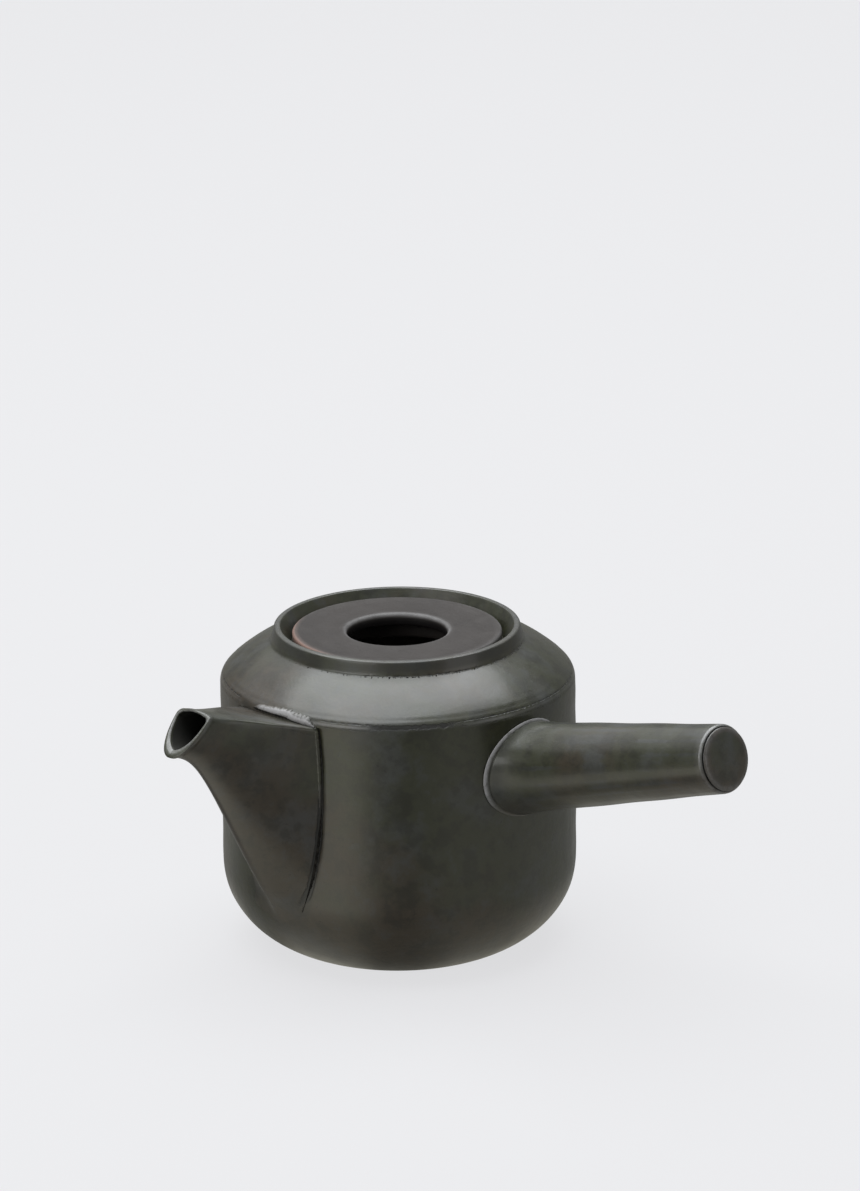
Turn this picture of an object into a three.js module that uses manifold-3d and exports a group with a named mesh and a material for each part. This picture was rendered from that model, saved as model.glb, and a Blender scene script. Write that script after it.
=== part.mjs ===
// Kyusu: a side-handled teapot of glazed stoneware with a sunk lid and a strainer plate.
// Millimetres, +Z up. The origin is the centre of the flat base. The handle points
// along +X and the spout along -Y, a quarter turn clockwise seen from above.

import * as THREE from 'three';
import { mergeVertices } from 'three/addons/utils/BufferGeometryUtils.js';
import Module from 'manifold-3d';

const wasm = await Module();
wasm.setup();

// Fits
const luteGap = 0.3;            // between clay pieces that are luted together
const seatGap = 0.3;            // under and beside pieces that rest on others
const facets = 64;              // facets round a turned piece
const handleFacets = 40;
const curveSteps = 5;           // facets along a rounded corner
const throughCut = 30;          // how far a cutter reaches past the wall it opens

// Pot
const bodyRadius = 52.5;        // outside of the upright wall
const baseRadius = 33.5;        // flat face that the pot stands on
const cornerHeight = 24.8;      // where the curve from the base meets the wall
const cornerCut = 0.42;         // share of the corner's ellipse that the flat base cuts off
const cornerSteps = 8;
const wallThickness = 3.5;
const baseThickness = 4.5;
const shoulderHeight = 82.1;    // sharp corner of wall and shoulder, before rounding
const shoulderRounding = 4.8;
const shoulderRise = 10.4;      // from the shoulder's edge up to the foot of the collar
const shoulderCrown = 1.1;      // how far the shoulder swells above a straight cone
const shoulderSteps = 4;
const shoulderRun = 6;          // how far in the shoulder's slope is taken for its rounding
const innerRoofLift = 0.5;      // share of an offset by which the shoulder rises with it

// Collar and lid seat
const collarRadius = 37.1;      // outside of the collar
const collarThickness = 3.5;
const collarHeight = 4.3;       // above the foot of the collar
const crestRounding = 1.5;
const seatDepth = 5.8;          // from the crest of the collar down to the seat
const seatFlare = 2.2;          // how much the collar narrows from its crest to the seat
const mouthRadius = 27.6;       // clear opening inside the seat
const seatThickness = 3.6;

// Lid
const lidRadius = 31.0;
const lidThickness = 3.8;
const lidRounding = 0.9;
const fingerHoleRadius = 14.8;
const fingerHoleRounding = 2.0;
const flangeClearance = 0.7;    // between the lid's flange and the mouth
const flangeThickness = 3.2;
const flangeDepth = 6.5;
const flangeChamfer = 0.8;

// Handle
const handleTilt = THREE.MathUtils.degToRad(14.8);
const handleHeight = 63.9;      // of its axis where it meets the wall
const handleLength = 80.4;      // from the wall to its outer end, with the end disc
const handleRootRadius = 13.3;
const handleTipRadius = 9.9;
const handleWall = 3.0;
const handleFlareSide = 3.3;    // how far the root spreads past the cone, sideways
const handleFlareUp = 1.1;      // and above and below
const handleFlareLength = 10;   // how far from the wall the spreading starts
const handleFlareBack = 4.5;    // how far inside the wall its first ring lies
const handleFlareStep = 1.8;    // between the rings of the spread root
const handleFlareRings = 9;
const handleTipRounding = 0.8;
const handleRootDepth = 7;      // of the blank inside the wall, cut away later
const endDiscRadius = 9.2;      // it stands on the handle's end and covers its hollow
const endDiscThickness = 0.9;
const endDiscRounding = 0.6;
const endPlugDepth = 2.4;       // of the disc's plug inside the hollow
const ventRadius = 1.25;        // lets air out of the hollow handle in the kiln
const ventDistance = 9;         // from the wall, on the underside

// Spout, in the upright plane of its keel: r outwards from the pot's axis, z up
const spoutRootWidth = 33.4;    // widest, on the wall
const spoutRootHeight = 98;     // of the whole ellipse whose upper part is cut off
const spoutRootMiddle = 63;     // height of that ellipse's centre
const spoutTopHeight = 81.0;    // of the flat top where it meets the wall
const lipTopRadius = 83.9;      // the mouth's straight upper edge
const lipTopHeight = 90.3;
const lipTipRadius = 94.8;      // the mouth's lowest point
const lipTipHeight = 79.5;
const lipWidth = 12.9;
const lipFullness = 2.6;        // exponent of the mouth's outline, 2 is an ellipse
const keelFoot = [50.2, 14.2];  // where the keel leaves the wall
const keelBend = [83.1, 75.1];  // where it turns from steep to flat
const keelSoftness = 7;         // larger is a blunter keel
const spoutRootWall = 3.0;
const spoutLipWall = 1.0;
const spoutFloorShare = 1.4;    // of its wall's thickness, under the channel
const foldedShare = 0.35;       // of the spout's length, before its section opens to the mouth
const channelOverrun = 1.12;    // how far the channel's cutter passes the lip, as a share
const spoutRows = 16;
const spoutPoints = 13;         // down one side of a section
const keelSteps = 60;

// Port through the pot's wall behind the spout
const portWidth = 17;
const portBottom = 25;
const portTop = 62;

// Strainer plate and the clay pocket that it stands in
const strainerWallGap = 0.8;    // between the frame and the pot's wall
const strainerWidth = 30;
const strainerBottom = 21;
const strainerTop = 66;
const strainerCorner = 5;
const frameThickness = 1.8;
const frameWidth = 2.6;
const meshThickness = 0.5;
const meshOverlap = 1.6;        // how far the mesh reaches into the folded frame
const meshHoleWidth = 3.0;
const meshHolePitch = 4.6;
const pocketWall = 2.5;
const pocketTop = 31;
const pocketLip = 3.4;          // how far the pocket covers the frame's edge
const slotSink = 0.2;           // how far the slot is scraped into the wall

const potColour = new THREE.Color(0.035, 0.036, 0.031);
const lidColour = new THREE.Color(0.105, 0.096, 0.088);
const steelColour = new THREE.Color(0.62, 0.62, 0.6);

function glaze(color) {
  return new THREE.MeshStandardMaterial({ color, roughness: 0.45, metalness: 0 });
}

function steel() {
  return new THREE.MeshStandardMaterial({ color: steelColour, roughness: 0.35, metalness: 1 });
}

// Closed solids

function solid(geometry) {
  const bare = geometry.clone();
  bare.deleteAttribute('normal');
  bare.deleteAttribute('uv');
  const merged = mergeVertices(bare, 1e-4);
  const corners = merged.index.array;
  const kept = [];
  for (let i = 0; i < corners.length; i += 3) {
    const [a, b, c] = [corners[i], corners[i + 1], corners[i + 2]];
    if (a !== b && b !== c && c !== a) kept.push(a, b, c);
  }
  const vertProperties = new Float32Array(merged.attributes.position.array);
  if (enclosedVolume(vertProperties, kept) < 0) {
    for (let i = 0; i < kept.length; i += 3) [kept[i + 1], kept[i + 2]] = [kept[i + 2], kept[i + 1]];
  }
  return new wasm.Manifold(new wasm.Mesh({ numProp: 3, vertProperties, triVerts: new Uint32Array(kept) }));
}

function enclosedVolume(positions, corners) {
  const [a, b, c] = [new THREE.Vector3(), new THREE.Vector3(), new THREE.Vector3()];
  let sum = 0;
  for (let i = 0; i < corners.length; i += 3) {
    a.fromArray(positions, 3 * corners[i]);
    b.fromArray(positions, 3 * corners[i + 1]);
    c.fromArray(positions, 3 * corners[i + 2]);
    sum += a.dot(b.cross(c)) / 6;
  }
  return sum;
}

function namedMesh(name, shape, material) {
  const { numProp, vertProperties, triVerts } = shape.getMesh();
  const positions = new Float32Array((vertProperties.length / numProp) * 3);
  for (let i = 0; i < positions.length / 3; i += 1) {
    for (let k = 0; k < 3; k += 1) positions[3 * i + k] = vertProperties[numProp * i + k];
  }
  const geometry = new THREE.BufferGeometry();
  geometry.setAttribute('position', new THREE.BufferAttribute(positions, 3));
  geometry.setIndex(new THREE.BufferAttribute(new Uint32Array(triVerts), 1));
  geometry.computeVertexNormals();
  const mesh = new THREE.Mesh(geometry, material);
  mesh.name = name;
  return mesh;
}

// A closed profile of [radius, height] points turned about +Z
function turned(profile, segments = facets) {
  const points = profile.map(([r, z]) => new THREE.Vector2(r, z));
  points.push(points[0].clone());
  return solid(new THREE.LatheGeometry(points, segments).rotateX(Math.PI / 2));
}

// An outline in x and z, extruded along y from y0 to y1
function extrudedAlongY(shape, y0, y1) {
  const geometry = new THREE.ExtrudeGeometry(shape, { depth: y1 - y0, bevelEnabled: false, curveSegments: 6 });
  return solid(geometry.rotateX(Math.PI / 2).translate(0, y1, 0));
}

// Rows of points joined to a closed skin, with a flat fan over each end
function lofted(rows) {
  const size = rows[0].length;
  const positions = rows.flat().flatMap((p) => p.toArray());
  const corners = [];
  for (let i = 0; i + 1 < rows.length; i += 1) {
    for (let j = 0; j < size; j += 1) {
      const next = (j + 1) % size;
      const [a, b, c, d] = [i * size + j, i * size + next, (i + 1) * size + next, (i + 1) * size + j];
      corners.push(a, b, c, a, c, d);
    }
  }
  [[rows[0], 0, true], [rows.at(-1), (rows.length - 1) * size, false]].forEach(([row, first, back]) => {
    const middle = row.reduce((sum, p) => sum.add(p), new THREE.Vector3()).divideScalar(size);
    const centre = positions.length / 3;
    positions.push(...middle.toArray());
    for (let j = 0; j < size; j += 1) {
      const [a, b] = [first + j, first + ((j + 1) % size)];
      corners.push(...(back ? [b, a, centre] : [a, b, centre]));
    }
  });
  const geometry = new THREE.BufferGeometry();
  geometry.setAttribute('position', new THREE.Float32BufferAttribute(positions, 3));
  geometry.setIndex(corners);
  return solid(geometry);
}

// Points of the arc that rounds the corner b between the straight lines to a and c
function rounded(a, b, c, radius, steps = curveSteps) {
  const [p, q, s] = [a, b, c].map(([x, y]) => new THREE.Vector2(x, y));
  const back = p.clone().sub(q).normalize();
  const ahead = s.clone().sub(q).normalize();
  const half = Math.acos(THREE.MathUtils.clamp(back.dot(ahead), -1, 1)) / 2;
  const middle = q.clone().addScaledVector(back.clone().add(ahead).normalize(), radius / Math.sin(half));
  const start = q.clone().addScaledVector(back, radius / Math.tan(half)).sub(middle);
  const turn = (Math.PI - 2 * half) * Math.sign(start.cross(ahead));
  return Array.from({ length: steps + 1 }, (_, i) => {
    const point = start.clone().rotateAround(new THREE.Vector2(), (turn * i) / steps).add(middle);
    return [point.x, point.y];
  });
}

// Outer side of the pot from its axis at the base up to the foot of the collar, moved out by offset
const collarFoot = shoulderHeight + shoulderRise;
const crestHeight = collarFoot + collarHeight;
const seatHeight = crestHeight - seatDepth;

function shoulderAt(radius) {
  const share = (bodyRadius - radius) / (bodyRadius - collarRadius);
  return shoulderHeight + shoulderRise * share + 4 * shoulderCrown * share * (1 - share);
}

function outerSide(offset, base) {
  const side = [[0, base]];
  const reach = bodyRadius + offset;
  const flat = baseRadius + offset;
  const cut = Math.asin(cornerCut);
  for (let i = 0; i <= cornerSteps; i += 1) {
    const turn = cut + ((Math.PI / 2 - cut) * i) / cornerSteps;
    const share = (Math.sin(turn) - Math.sin(cut)) / (1 - Math.sin(cut));
    const lift = (Math.cos(cut) - Math.cos(turn)) / Math.cos(cut);
    side.push([flat + (reach - flat) * share, base + (cornerHeight - base) * lift]);
  }
  const edge = [reach, shoulderHeight + offset * innerRoofLift];
  const rise = shoulderAt(bodyRadius - shoulderRun) - shoulderHeight;
  const inner = [reach - shoulderRun, edge[1] + rise];
  side.push(...rounded([reach, cornerHeight], edge, inner, shoulderRounding + offset));
  const last = side.at(-1)[0];
  for (let i = 1; i <= shoulderSteps; i += 1) {
    const radius = last + ((collarRadius + offset - last) * i) / shoulderSteps;
    side.push([radius, edge[1] - shoulderHeight + shoulderAt(radius - offset)]);
  }
  return side;
}

// The solid lump that fills the pot's outside, used to cut what is luted to it
function envelope(offset) {
  return turned([...outerSide(offset, -offset), [0, collarFoot + offset]]);
}

function potShell() {
  const outside = outerSide(0, 0);
  const inside = outerSide(-wallThickness, baseThickness).reverse();
  const crestInner = collarRadius - collarThickness;
  const seatOuter = crestInner - seatFlare;
  const crest = [
    ...rounded(
      [collarRadius, collarFoot], [collarRadius, crestHeight], [crestInner, crestHeight], crestRounding, 4),
    ...rounded(
      [collarRadius, crestHeight], [crestInner, crestHeight], [seatOuter, seatHeight], crestRounding, 4),
  ];
  const seat = [
    [seatOuter, seatHeight],
    [mouthRadius, seatHeight],
    [mouthRadius, seatHeight - seatThickness],
  ];
  return turned([...outside, ...crest, ...seat, ...inside]);
}

// Rounded upright rectangle in x and z
function plateShape(width, bottom, top, corner) {
  const half = width / 2;
  const shape = new THREE.Shape();
  shape.moveTo(-half + corner, bottom);
  shape.lineTo(half - corner, bottom);
  shape.absarc(half - corner, bottom + corner, corner, -Math.PI / 2, 0, false);
  shape.lineTo(half, top - corner);
  shape.absarc(half - corner, top - corner, corner, 0, Math.PI / 2, false);
  shape.lineTo(-half + corner, top);
  shape.absarc(-half + corner, top - corner, corner, Math.PI / 2, Math.PI, false);
  shape.lineTo(-half, bottom + corner);
  shape.absarc(-half + corner, bottom + corner, corner, Math.PI, 1.5 * Math.PI, false);
  return shape;
}

// The part of the ring between two radii that lies behind the spout inside an outline
function curvedPlate(shape, inner, outer, bottom, top) {
  const ring = turned([[inner, bottom], [outer, bottom], [outer, top], [inner, top]]);
  return ring.intersect(extrudedAlongY(shape, -bodyRadius - throughCut, 0));
}

const strainerRadius = bodyRadius - wallThickness - strainerWallGap - frameThickness / 2;
const frameInner = strainerRadius - frameThickness / 2;
const frameOuter = strainerRadius + frameThickness / 2;
const slotInner = frameInner - seatGap;

function strainerPocket() {
  const width = strainerWidth + 2 * (seatGap + pocketWall);
  const bottom = strainerBottom - seatGap - pocketWall;
  const reach = bodyRadius - wallThickness / 2;
  const block = curvedPlate(
    plateShape(width, bottom, pocketTop, pocketWall / 2), slotInner - pocketWall, reach, bottom - 1, pocketTop + 1);
  const slotShape = plateShape(
    strainerWidth + 2 * seatGap, strainerBottom - seatGap, strainerTop, strainerCorner);
  const slot = curvedPlate(
    slotShape, slotInner, bodyRadius - wallThickness + slotSink, strainerBottom - 1, strainerTop + 1);
  const window = extrudedAlongY(
    plateShape(strainerWidth - 2 * pocketLip, strainerBottom + pocketLip, strainerTop, 1),
    -bodyRadius + wallThickness, 0);
  return block.subtract(slot).subtract(window);
}

function port() {
  return extrudedAlongY(
    plateShape(portWidth, portBottom, portTop, portWidth / 2), -bodyRadius - throughCut, -bodyRadius / 2);
}

function potBody() {
  return potShell().add(strainerPocket()).subtract(port());
}

// Lid

function lid() {
  const underside = seatHeight + seatGap;
  const top = underside + lidThickness;
  const flangeOuter = mouthRadius - flangeClearance;
  const flangeInner = flangeOuter - flangeThickness;
  const flangeBottom = underside - flangeDepth;
  const profile = [
    [fingerHoleRadius, underside],
    ...rounded([fingerHoleRadius, underside], [fingerHoleRadius, top], [lidRadius, top], fingerHoleRounding, 4),
    ...rounded([fingerHoleRadius, top], [lidRadius, top], [lidRadius, underside], lidRounding, 3),
    [lidRadius, underside],
    [flangeOuter, underside],
    [flangeOuter, flangeBottom + flangeChamfer],
    [flangeOuter - flangeChamfer, flangeBottom],
    [flangeInner, flangeBottom],
    [flangeInner, underside],
  ];
  return turned(profile);
}

// Handle, turned about its own axis and then laid along +X with its tilt

const handleDirection = new THREE.Vector3(Math.cos(handleTilt), 0, Math.sin(handleTilt));
const handleFoot = new THREE.Vector3(bodyRadius, 0, handleHeight);

function alongHandle(shape) {
  const turn = new THREE.Matrix4().makeRotationY(Math.PI / 2 - handleTilt);
  turn.setPosition(handleFoot);
  return shape.transform(turn.toArray());
}

function handleRadius(distance) {
  return handleRootRadius + ((handleTipRadius - handleRootRadius) * distance) / handleLength;
}

// One ring of the handle's outside, spread where it comes near the pot's wall
function handleRing([radius, distance]) {
  return Array.from({ length: handleFacets }, (_, i) => {
    const turn = (2 * Math.PI * i) / handleFacets;
    const around = new THREE.Vector3(-Math.sin(handleTilt) * Math.cos(turn), Math.sin(turn), 0);
    around.z = Math.cos(handleTilt) * Math.cos(turn);
    const middle = handleFoot.clone().addScaledVector(handleDirection, distance);
    const point = middle.clone().addScaledVector(around, radius);
    const fromWall = Math.hypot(point.x, point.y) - bodyRadius;
    const near = THREE.MathUtils.clamp(1 - fromWall / handleFlareLength, 0, 1);
    const spread = THREE.MathUtils.lerp(handleFlareUp, handleFlareSide, Math.sin(turn) ** 2);
    return point.addScaledVector(around, spread * near * near);
  });
}

const handleClayEnd = handleLength - endDiscThickness - luteGap;
const hollowTipRadius = handleTipRadius - handleWall;

function handle() {
  const root = Array.from(
    { length: handleFlareRings }, (_, i) => i * handleFlareStep - handleFlareBack);
  const stations = [-handleRootDepth, ...root, handleLength / 2];
  const tip = rounded(
    [handleRadius(handleLength / 2), handleLength / 2], [handleRadius(handleClayEnd), handleClayEnd],
    [0, handleClayEnd], handleTipRounding, 4);
  const outside = [...stations.map((distance) => [handleRadius(distance), distance]), ...tip];
  const hollow = turned([
    [0, -handleRootDepth - throughCut],
    [handleRootRadius - handleWall, -handleRootDepth - throughCut],
    [hollowTipRadius, handleClayEnd + throughCut],
    [0, handleClayEnd + throughCut],
  ], handleFacets);
  const blank = lofted(outside.map(handleRing)).subtract(alongHandle(hollow));
  return blank.subtract(envelope(luteGap)).subtract(vent());
}

// In the handle's own frame, before it is laid down, +X is its underside
function vent() {
  const drill = new THREE.CylinderGeometry(ventRadius, ventRadius, 3 * handleWall, 12);
  drill.rotateZ(Math.PI / 2).translate(handleRootRadius - handleWall / 2, 0, ventDistance);
  return alongHandle(solid(drill));
}

function handleEnd() {
  const top = handleLength;
  const under = top - endDiscThickness;
  const plugRadius = hollowTipRadius - luteGap;
  const plugEnd = handleClayEnd - endPlugDepth;
  const profile = [
    [0, plugEnd],
    [plugRadius, plugEnd],
    [plugRadius, under],
    [endDiscRadius, under],
    ...rounded([endDiscRadius, under], [endDiscRadius, top], [0, top], endDiscRounding, 3),
    [0, top],
  ];
  return alongHandle(turned(profile, 48));
}

// Spout

function rootHalfWidth(z) {
  const share = (z - spoutRootMiddle) / (spoutRootHeight / 2);
  return (spoutRootWidth / 2) * Math.sqrt(Math.max(0, 1 - share * share));
}

const rootReach = bodyRadius - wallThickness - 1;
const keel = new THREE.CubicBezierCurve(
  new THREE.Vector2(...keelFoot), new THREE.Vector2(...keelBend),
  new THREE.Vector2(...keelBend), new THREE.Vector2(lipTipRadius, lipTipHeight));
const keelSamples = keel.getPoints(keelSteps);

// How far out the keel lies at a height; above the lip it goes on along its last slope
function keelReach(z) {
  if (z <= keelFoot[1]) return keelFoot[0];
  const after = keelSamples.findIndex((p) => p.y > z);
  const [p, q] = after < 0 ? keelSamples.slice(-2) : [keelSamples[after - 1], keelSamples[after]];
  return p.x + ((q.x - p.x) * (z - p.y)) / (q.y - p.y);
}

// Outside radius of the pot at a height, between the corners of its outline
const potSide = outerSide(0, 0);
function outerRadius(z) {
  const above = Math.max(1, potSide.findIndex((p) => p[1] > z));
  const [[r0, z0], [r1, z1]] = [potSide[above - 1], potSide[above]];
  return r0 + ((r1 - r0) * (z - z0)) / (z1 - z0);
}

// Half width of the folded spout at a point of its upright plane: none on the keel, and the
// root's width where its side meets the wall
function foldHalfWidth(r, z) {
  const width = rootHalfWidth(z);
  const reach = keelReach(z);
  const wall = Math.sqrt(outerRadius(z) ** 2 - width * width);
  const share = THREE.MathUtils.clamp((reach - r) / Math.max(reach - wall, 1), 0, 1);
  const blunt = (y) => Math.sqrt(y * y + 2 * keelSoftness * y);
  return width <= 0 ? 0 : (width * blunt(width * share)) / blunt(width);
}

const topSlope = (lipTopHeight - spoutTopHeight) / (lipTopRadius - bodyRadius);
const topRoot = new THREE.Vector2(rootReach, spoutTopHeight - topSlope * (bodyRadius - rootReach));

// One closed section of the spout. along runs from 0 at the root to 1 at the lip.
function spoutSection(along, inset) {
  const inward = inset ? THREE.MathUtils.lerp(spoutRootWall, spoutLipWall, THREE.MathUtils.clamp(along, 0, 1)) : 0;
  const top = topRoot.clone().lerp(new THREE.Vector2(lipTopRadius, lipTopHeight), along);
  const share = THREE.MathUtils.clamp(along, 0, 1);
  const bottom = keel.getPoint(share);
  if (along > 1) bottom.add(new THREE.Vector2(1, 1).multiplyScalar((along - 1) * throughCut));
  const down = bottom.clone().sub(top);
  const length = down.length();
  const mouth = THREE.MathUtils.smoothstep(along, foldedShare, 1);
  const side = [];
  for (let i = 0; i <= spoutPoints; i += 1) {
    const drop = Math.sin(((i / spoutPoints) * Math.PI) / 2);
    const point = top.clone().addScaledVector(down, drop);
    const folded = foldHalfWidth(point.x, point.y);
    const open = (lipWidth / 2) * Math.sqrt(Math.max(0, 1 - drop ** lipFullness));
    const half = THREE.MathUtils.lerp(folded, open, mouth);
    const squeezed = Math.max(0, half - inward);
    const lowered = THREE.MathUtils.clamp(drop * length, inward, length - inward * spoutFloorShare);
    const moved = top.clone().addScaledVector(down, lowered / length);
    side.push([squeezed, moved.x, moved.y]);
  }
  side.at(-1)[0] = 0;
  const right = side.map(([x, r, z]) => new THREE.Vector3(x, -r, z));
  const left = side.slice(0, -1).reverse().map(([x, r, z]) => new THREE.Vector3(-x, -r, z));
  return [...right, ...left];
}

function spout() {
  const stations = Array.from({ length: spoutRows + 1 }, (_, i) => i / spoutRows);
  const outside = lofted(stations.map((along) => spoutSection(along, false)));
  const inside = lofted([...stations, channelOverrun].map((along) => spoutSection(along, true)));
  return outside.subtract(inside).subtract(envelope(luteGap));
}

// Strainer

function strainerFrame() {
  const outline = plateShape(strainerWidth, strainerBottom, strainerTop, strainerCorner);
  const opening = plateShape(
    strainerWidth - 2 * frameWidth, strainerBottom + frameWidth, strainerTop - frameWidth,
    strainerCorner - frameWidth / 2);
  const rim = curvedPlate(outline, frameInner, frameOuter, strainerBottom - 1, strainerTop + 1)
    .subtract(extrudedAlongY(opening, -bodyRadius, 0));
  const groove = curvedPlate(
    meshOutline(luteGap), strainerRadius - meshThickness / 2 - luteGap,
    strainerRadius + meshThickness / 2 + luteGap, strainerBottom - 1, strainerTop + 1);
  return rim.subtract(groove);
}

function meshOutline(grow) {
  const edge = frameWidth - meshOverlap - grow;
  return plateShape(
    strainerWidth - 2 * edge, strainerBottom + edge, strainerTop - edge, strainerCorner - edge / 2);
}

function strainerMesh() {
  const sheet = curvedPlate(
    meshOutline(0), strainerRadius - meshThickness / 2, strainerRadius + meshThickness / 2,
    strainerBottom - 1, strainerTop + 1);
  const field = strainerWidth - 2 * frameWidth - meshHoleWidth;
  const columns = Math.floor(field / meshHolePitch / 2);
  const height = strainerTop - strainerBottom - 2 * frameWidth - meshHoleWidth;
  const rows = Math.floor(height / meshHolePitch / 2);
  const middle = (strainerTop + strainerBottom) / 2;
  let pierced = sheet;
  for (let column = -columns; column <= columns; column += 1) {
    for (let row = -rows; row <= rows; row += 1) {
      const half = meshHoleWidth / 2;
      const [x, z] = [column * meshHolePitch, middle + row * meshHolePitch];
      const hole = new THREE.Shape([
        new THREE.Vector2(x - half, z), new THREE.Vector2(x, z - half),
        new THREE.Vector2(x + half, z), new THREE.Vector2(x, z + half),
      ]);
      pierced = pierced.subtract(extrudedAlongY(hole, -bodyRadius, -bodyRadius / 2));
    }
  }
  return pierced;
}

const kyusu = new THREE.Group();
kyusu.name = 'kyusu';

const firedPot = new THREE.Group();
firedPot.add(namedMesh('pot_body', potBody(), glaze(potColour)));
firedPot.add(namedMesh('spout', spout(), glaze(potColour)));
firedPot.add(namedMesh('handle', handle(), glaze(potColour)));
firedPot.add(namedMesh('handle_end', handleEnd(), glaze(potColour)));
kyusu.add(firedPot);

kyusu.add(namedMesh('lid', lid(), glaze(lidColour)));

const strainer = new THREE.Group();
strainer.add(namedMesh('strainer_mesh', strainerMesh(), steel()));
strainer.add(namedMesh('strainer_frame', strainerFrame(), steel()));
kyusu.add(strainer);

export default kyusu;
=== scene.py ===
"""The looks of a kyusu, a side-handled Japanese teapot of dark glazed stoneware.

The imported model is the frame: each piece here stands for one of its nodes, in the same place and size.
Lengths are in metres, +Z is up, the handle points along +X and the spout along -Y.
"""

import math

import bpy
import numpy as np
from bpy.props import FloatProperty, FloatVectorProperty, IntProperty, PointerProperty
from bpy.types import Operator, Panel, PropertyGroup
from mathutils import Matrix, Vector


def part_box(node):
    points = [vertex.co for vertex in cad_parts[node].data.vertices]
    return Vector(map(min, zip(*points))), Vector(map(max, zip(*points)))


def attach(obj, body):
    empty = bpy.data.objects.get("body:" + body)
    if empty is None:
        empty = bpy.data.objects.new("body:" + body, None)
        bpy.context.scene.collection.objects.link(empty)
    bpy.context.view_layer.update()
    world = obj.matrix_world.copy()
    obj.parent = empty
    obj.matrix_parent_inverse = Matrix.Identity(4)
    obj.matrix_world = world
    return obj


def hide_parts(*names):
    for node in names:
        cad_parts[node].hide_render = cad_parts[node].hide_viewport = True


bl_info = {
    "name": "Kyusu Teapot",
    "version": (1, 0, 0),
    "blender": (4, 5, 0),
    "location": "3D View > Sidebar > Kyusu",
    "description": "Builds a side-handled teapot as smooth glazed pieces round its solid model",
    "category": "Add Mesh",
}

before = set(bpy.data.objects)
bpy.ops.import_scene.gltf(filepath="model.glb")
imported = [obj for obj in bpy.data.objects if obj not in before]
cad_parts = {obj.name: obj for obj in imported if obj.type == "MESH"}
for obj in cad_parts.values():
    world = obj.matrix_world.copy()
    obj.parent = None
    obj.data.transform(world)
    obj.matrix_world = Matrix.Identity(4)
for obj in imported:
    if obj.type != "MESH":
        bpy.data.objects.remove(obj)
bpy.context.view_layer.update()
POT_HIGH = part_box("pot_body")[1]
SPOUT_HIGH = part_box("spout")[1]
LID_LOW, LID_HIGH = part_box("lid")
RIM_LOW, RIM_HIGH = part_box("strainer_frame")
SPOUT_TURN = -math.pi / 2


def length(name, default, description):
    """A length property in metres."""
    return FloatProperty(name=name, default=default, unit="LENGTH", precision=5, description=description)


def share(name, default, description):
    """A factor property from 0 to 1."""
    return FloatProperty(name=name, default=default, min=0, max=1, subtype="FACTOR", description=description)


def colour(name, default, description):
    """A colour property in linear values."""
    return FloatVectorProperty(
        name=name, default=default, subtype="COLOR", min=0, max=1, description=description)


def angle(name, degrees, description):
    """An angle property, given in degrees."""
    return FloatProperty(name=name, default=math.radians(degrees), subtype="ANGLE", description=description)


def number(name, default, description):
    """A plain number property."""
    return FloatProperty(name=name, default=default, description=description)


class KYUSU_PG_pot(PropertyGroup):
    """Sizes of the thrown pot"""

    body_radius: length("Body Radius", POT_HIGH.x, "Outside radius of the upright wall")
    base_radius: length("Base Radius", 0.0335, "Radius of the flat face that the pot stands on")
    corner_height: length("Corner Height", 0.0248, "Where the curve from the base meets the wall")
    corner_cut: share("Corner Cut", 0.42, "Share of the corner's ellipse that the flat base cuts off")
    wall: length("Wall", 0.0035, "Thickness of the wall")
    floor: length("Floor", 0.0045, "Thickness of the floor")
    shoulder_height: length("Shoulder Height", 0.0821, "Sharp corner of wall and shoulder")
    shoulder_rounding: length("Shoulder Rounding", 0.0048, "Radius of the shoulder's round edge")
    shoulder_rise: length("Shoulder Rise", 0.0104, "From the shoulder's edge to the collar's foot")
    shoulder_crown: length("Shoulder Crown", 0.0011, "Swelling of the shoulder above a cone")
    collar_radius: length("Collar Radius", 0.0371, "Outside of the collar round the lid")
    collar_thickness: length("Collar Thickness", 0.0035, "Thickness of the collar under its crest")
    crest_rounding: length("Crest Rounding", 0.0007, "Radius of the outer edge of the collar's crest")
    crest_width: length("Crest Width", 0.0017, "From the crest's inner edge to its outer one")
    crest_fall: length("Crest Fall", 0.0001, "How far the crest slopes down outwards")
    crest_inset: length("Crest Inset", 0.0025, "From the collar's outside to the crest's inner edge")
    foot_rounding: length("Foot Rounding", 0.0016, "Hollow curve between shoulder and collar")
    seat_depth: length("Seat Depth", 0.0058, "From the crest down to the lid's seat")
    seat_flare: length("Seat Flare", 0.0022, "How much the collar narrows from crest to seat")
    mouth_radius: length("Mouth Radius", 0.0276, "Clear opening inside the seat")
    seat_thickness: length("Seat Thickness", 0.0036, "Thickness of the seat's ledge")
    unevenness: length("Unevenness", 0.00007, "How far the hand-thrown wall strays from round")
    port_width: length("Port Width", 0.017, "Width of the hole behind the spout")
    port_bottom: length("Port Bottom", 0.025, "Lowest point of the hole behind the spout")
    port_top: length("Port Top", 0.062, "Highest point of the hole behind the spout")


class KYUSU_PG_lid(PropertyGroup):
    """Sizes of the sunk lid"""

    radius: length("Radius", LID_HIGH.x, "Outside radius of the lid")
    top: length("Top", LID_HIGH.z, "Height of the lid's flat top")
    thickness: length("Thickness", 0.0038, "Thickness of the lid's plate")
    rounding: length("Rounding", 0.0009, "Radius of the outer edge")
    hole_radius: length("Hole Radius", 0.0148, "Radius of the finger hole")
    hole_rounding: length("Hole Rounding", 0.0015, "Radius of the finger hole's edge")
    flange_clearance: length("Flange Clearance", 0.0007, "Between the flange and the mouth")
    flange_thickness: length("Flange Thickness", 0.0032, "Thickness of the flange")


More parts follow.
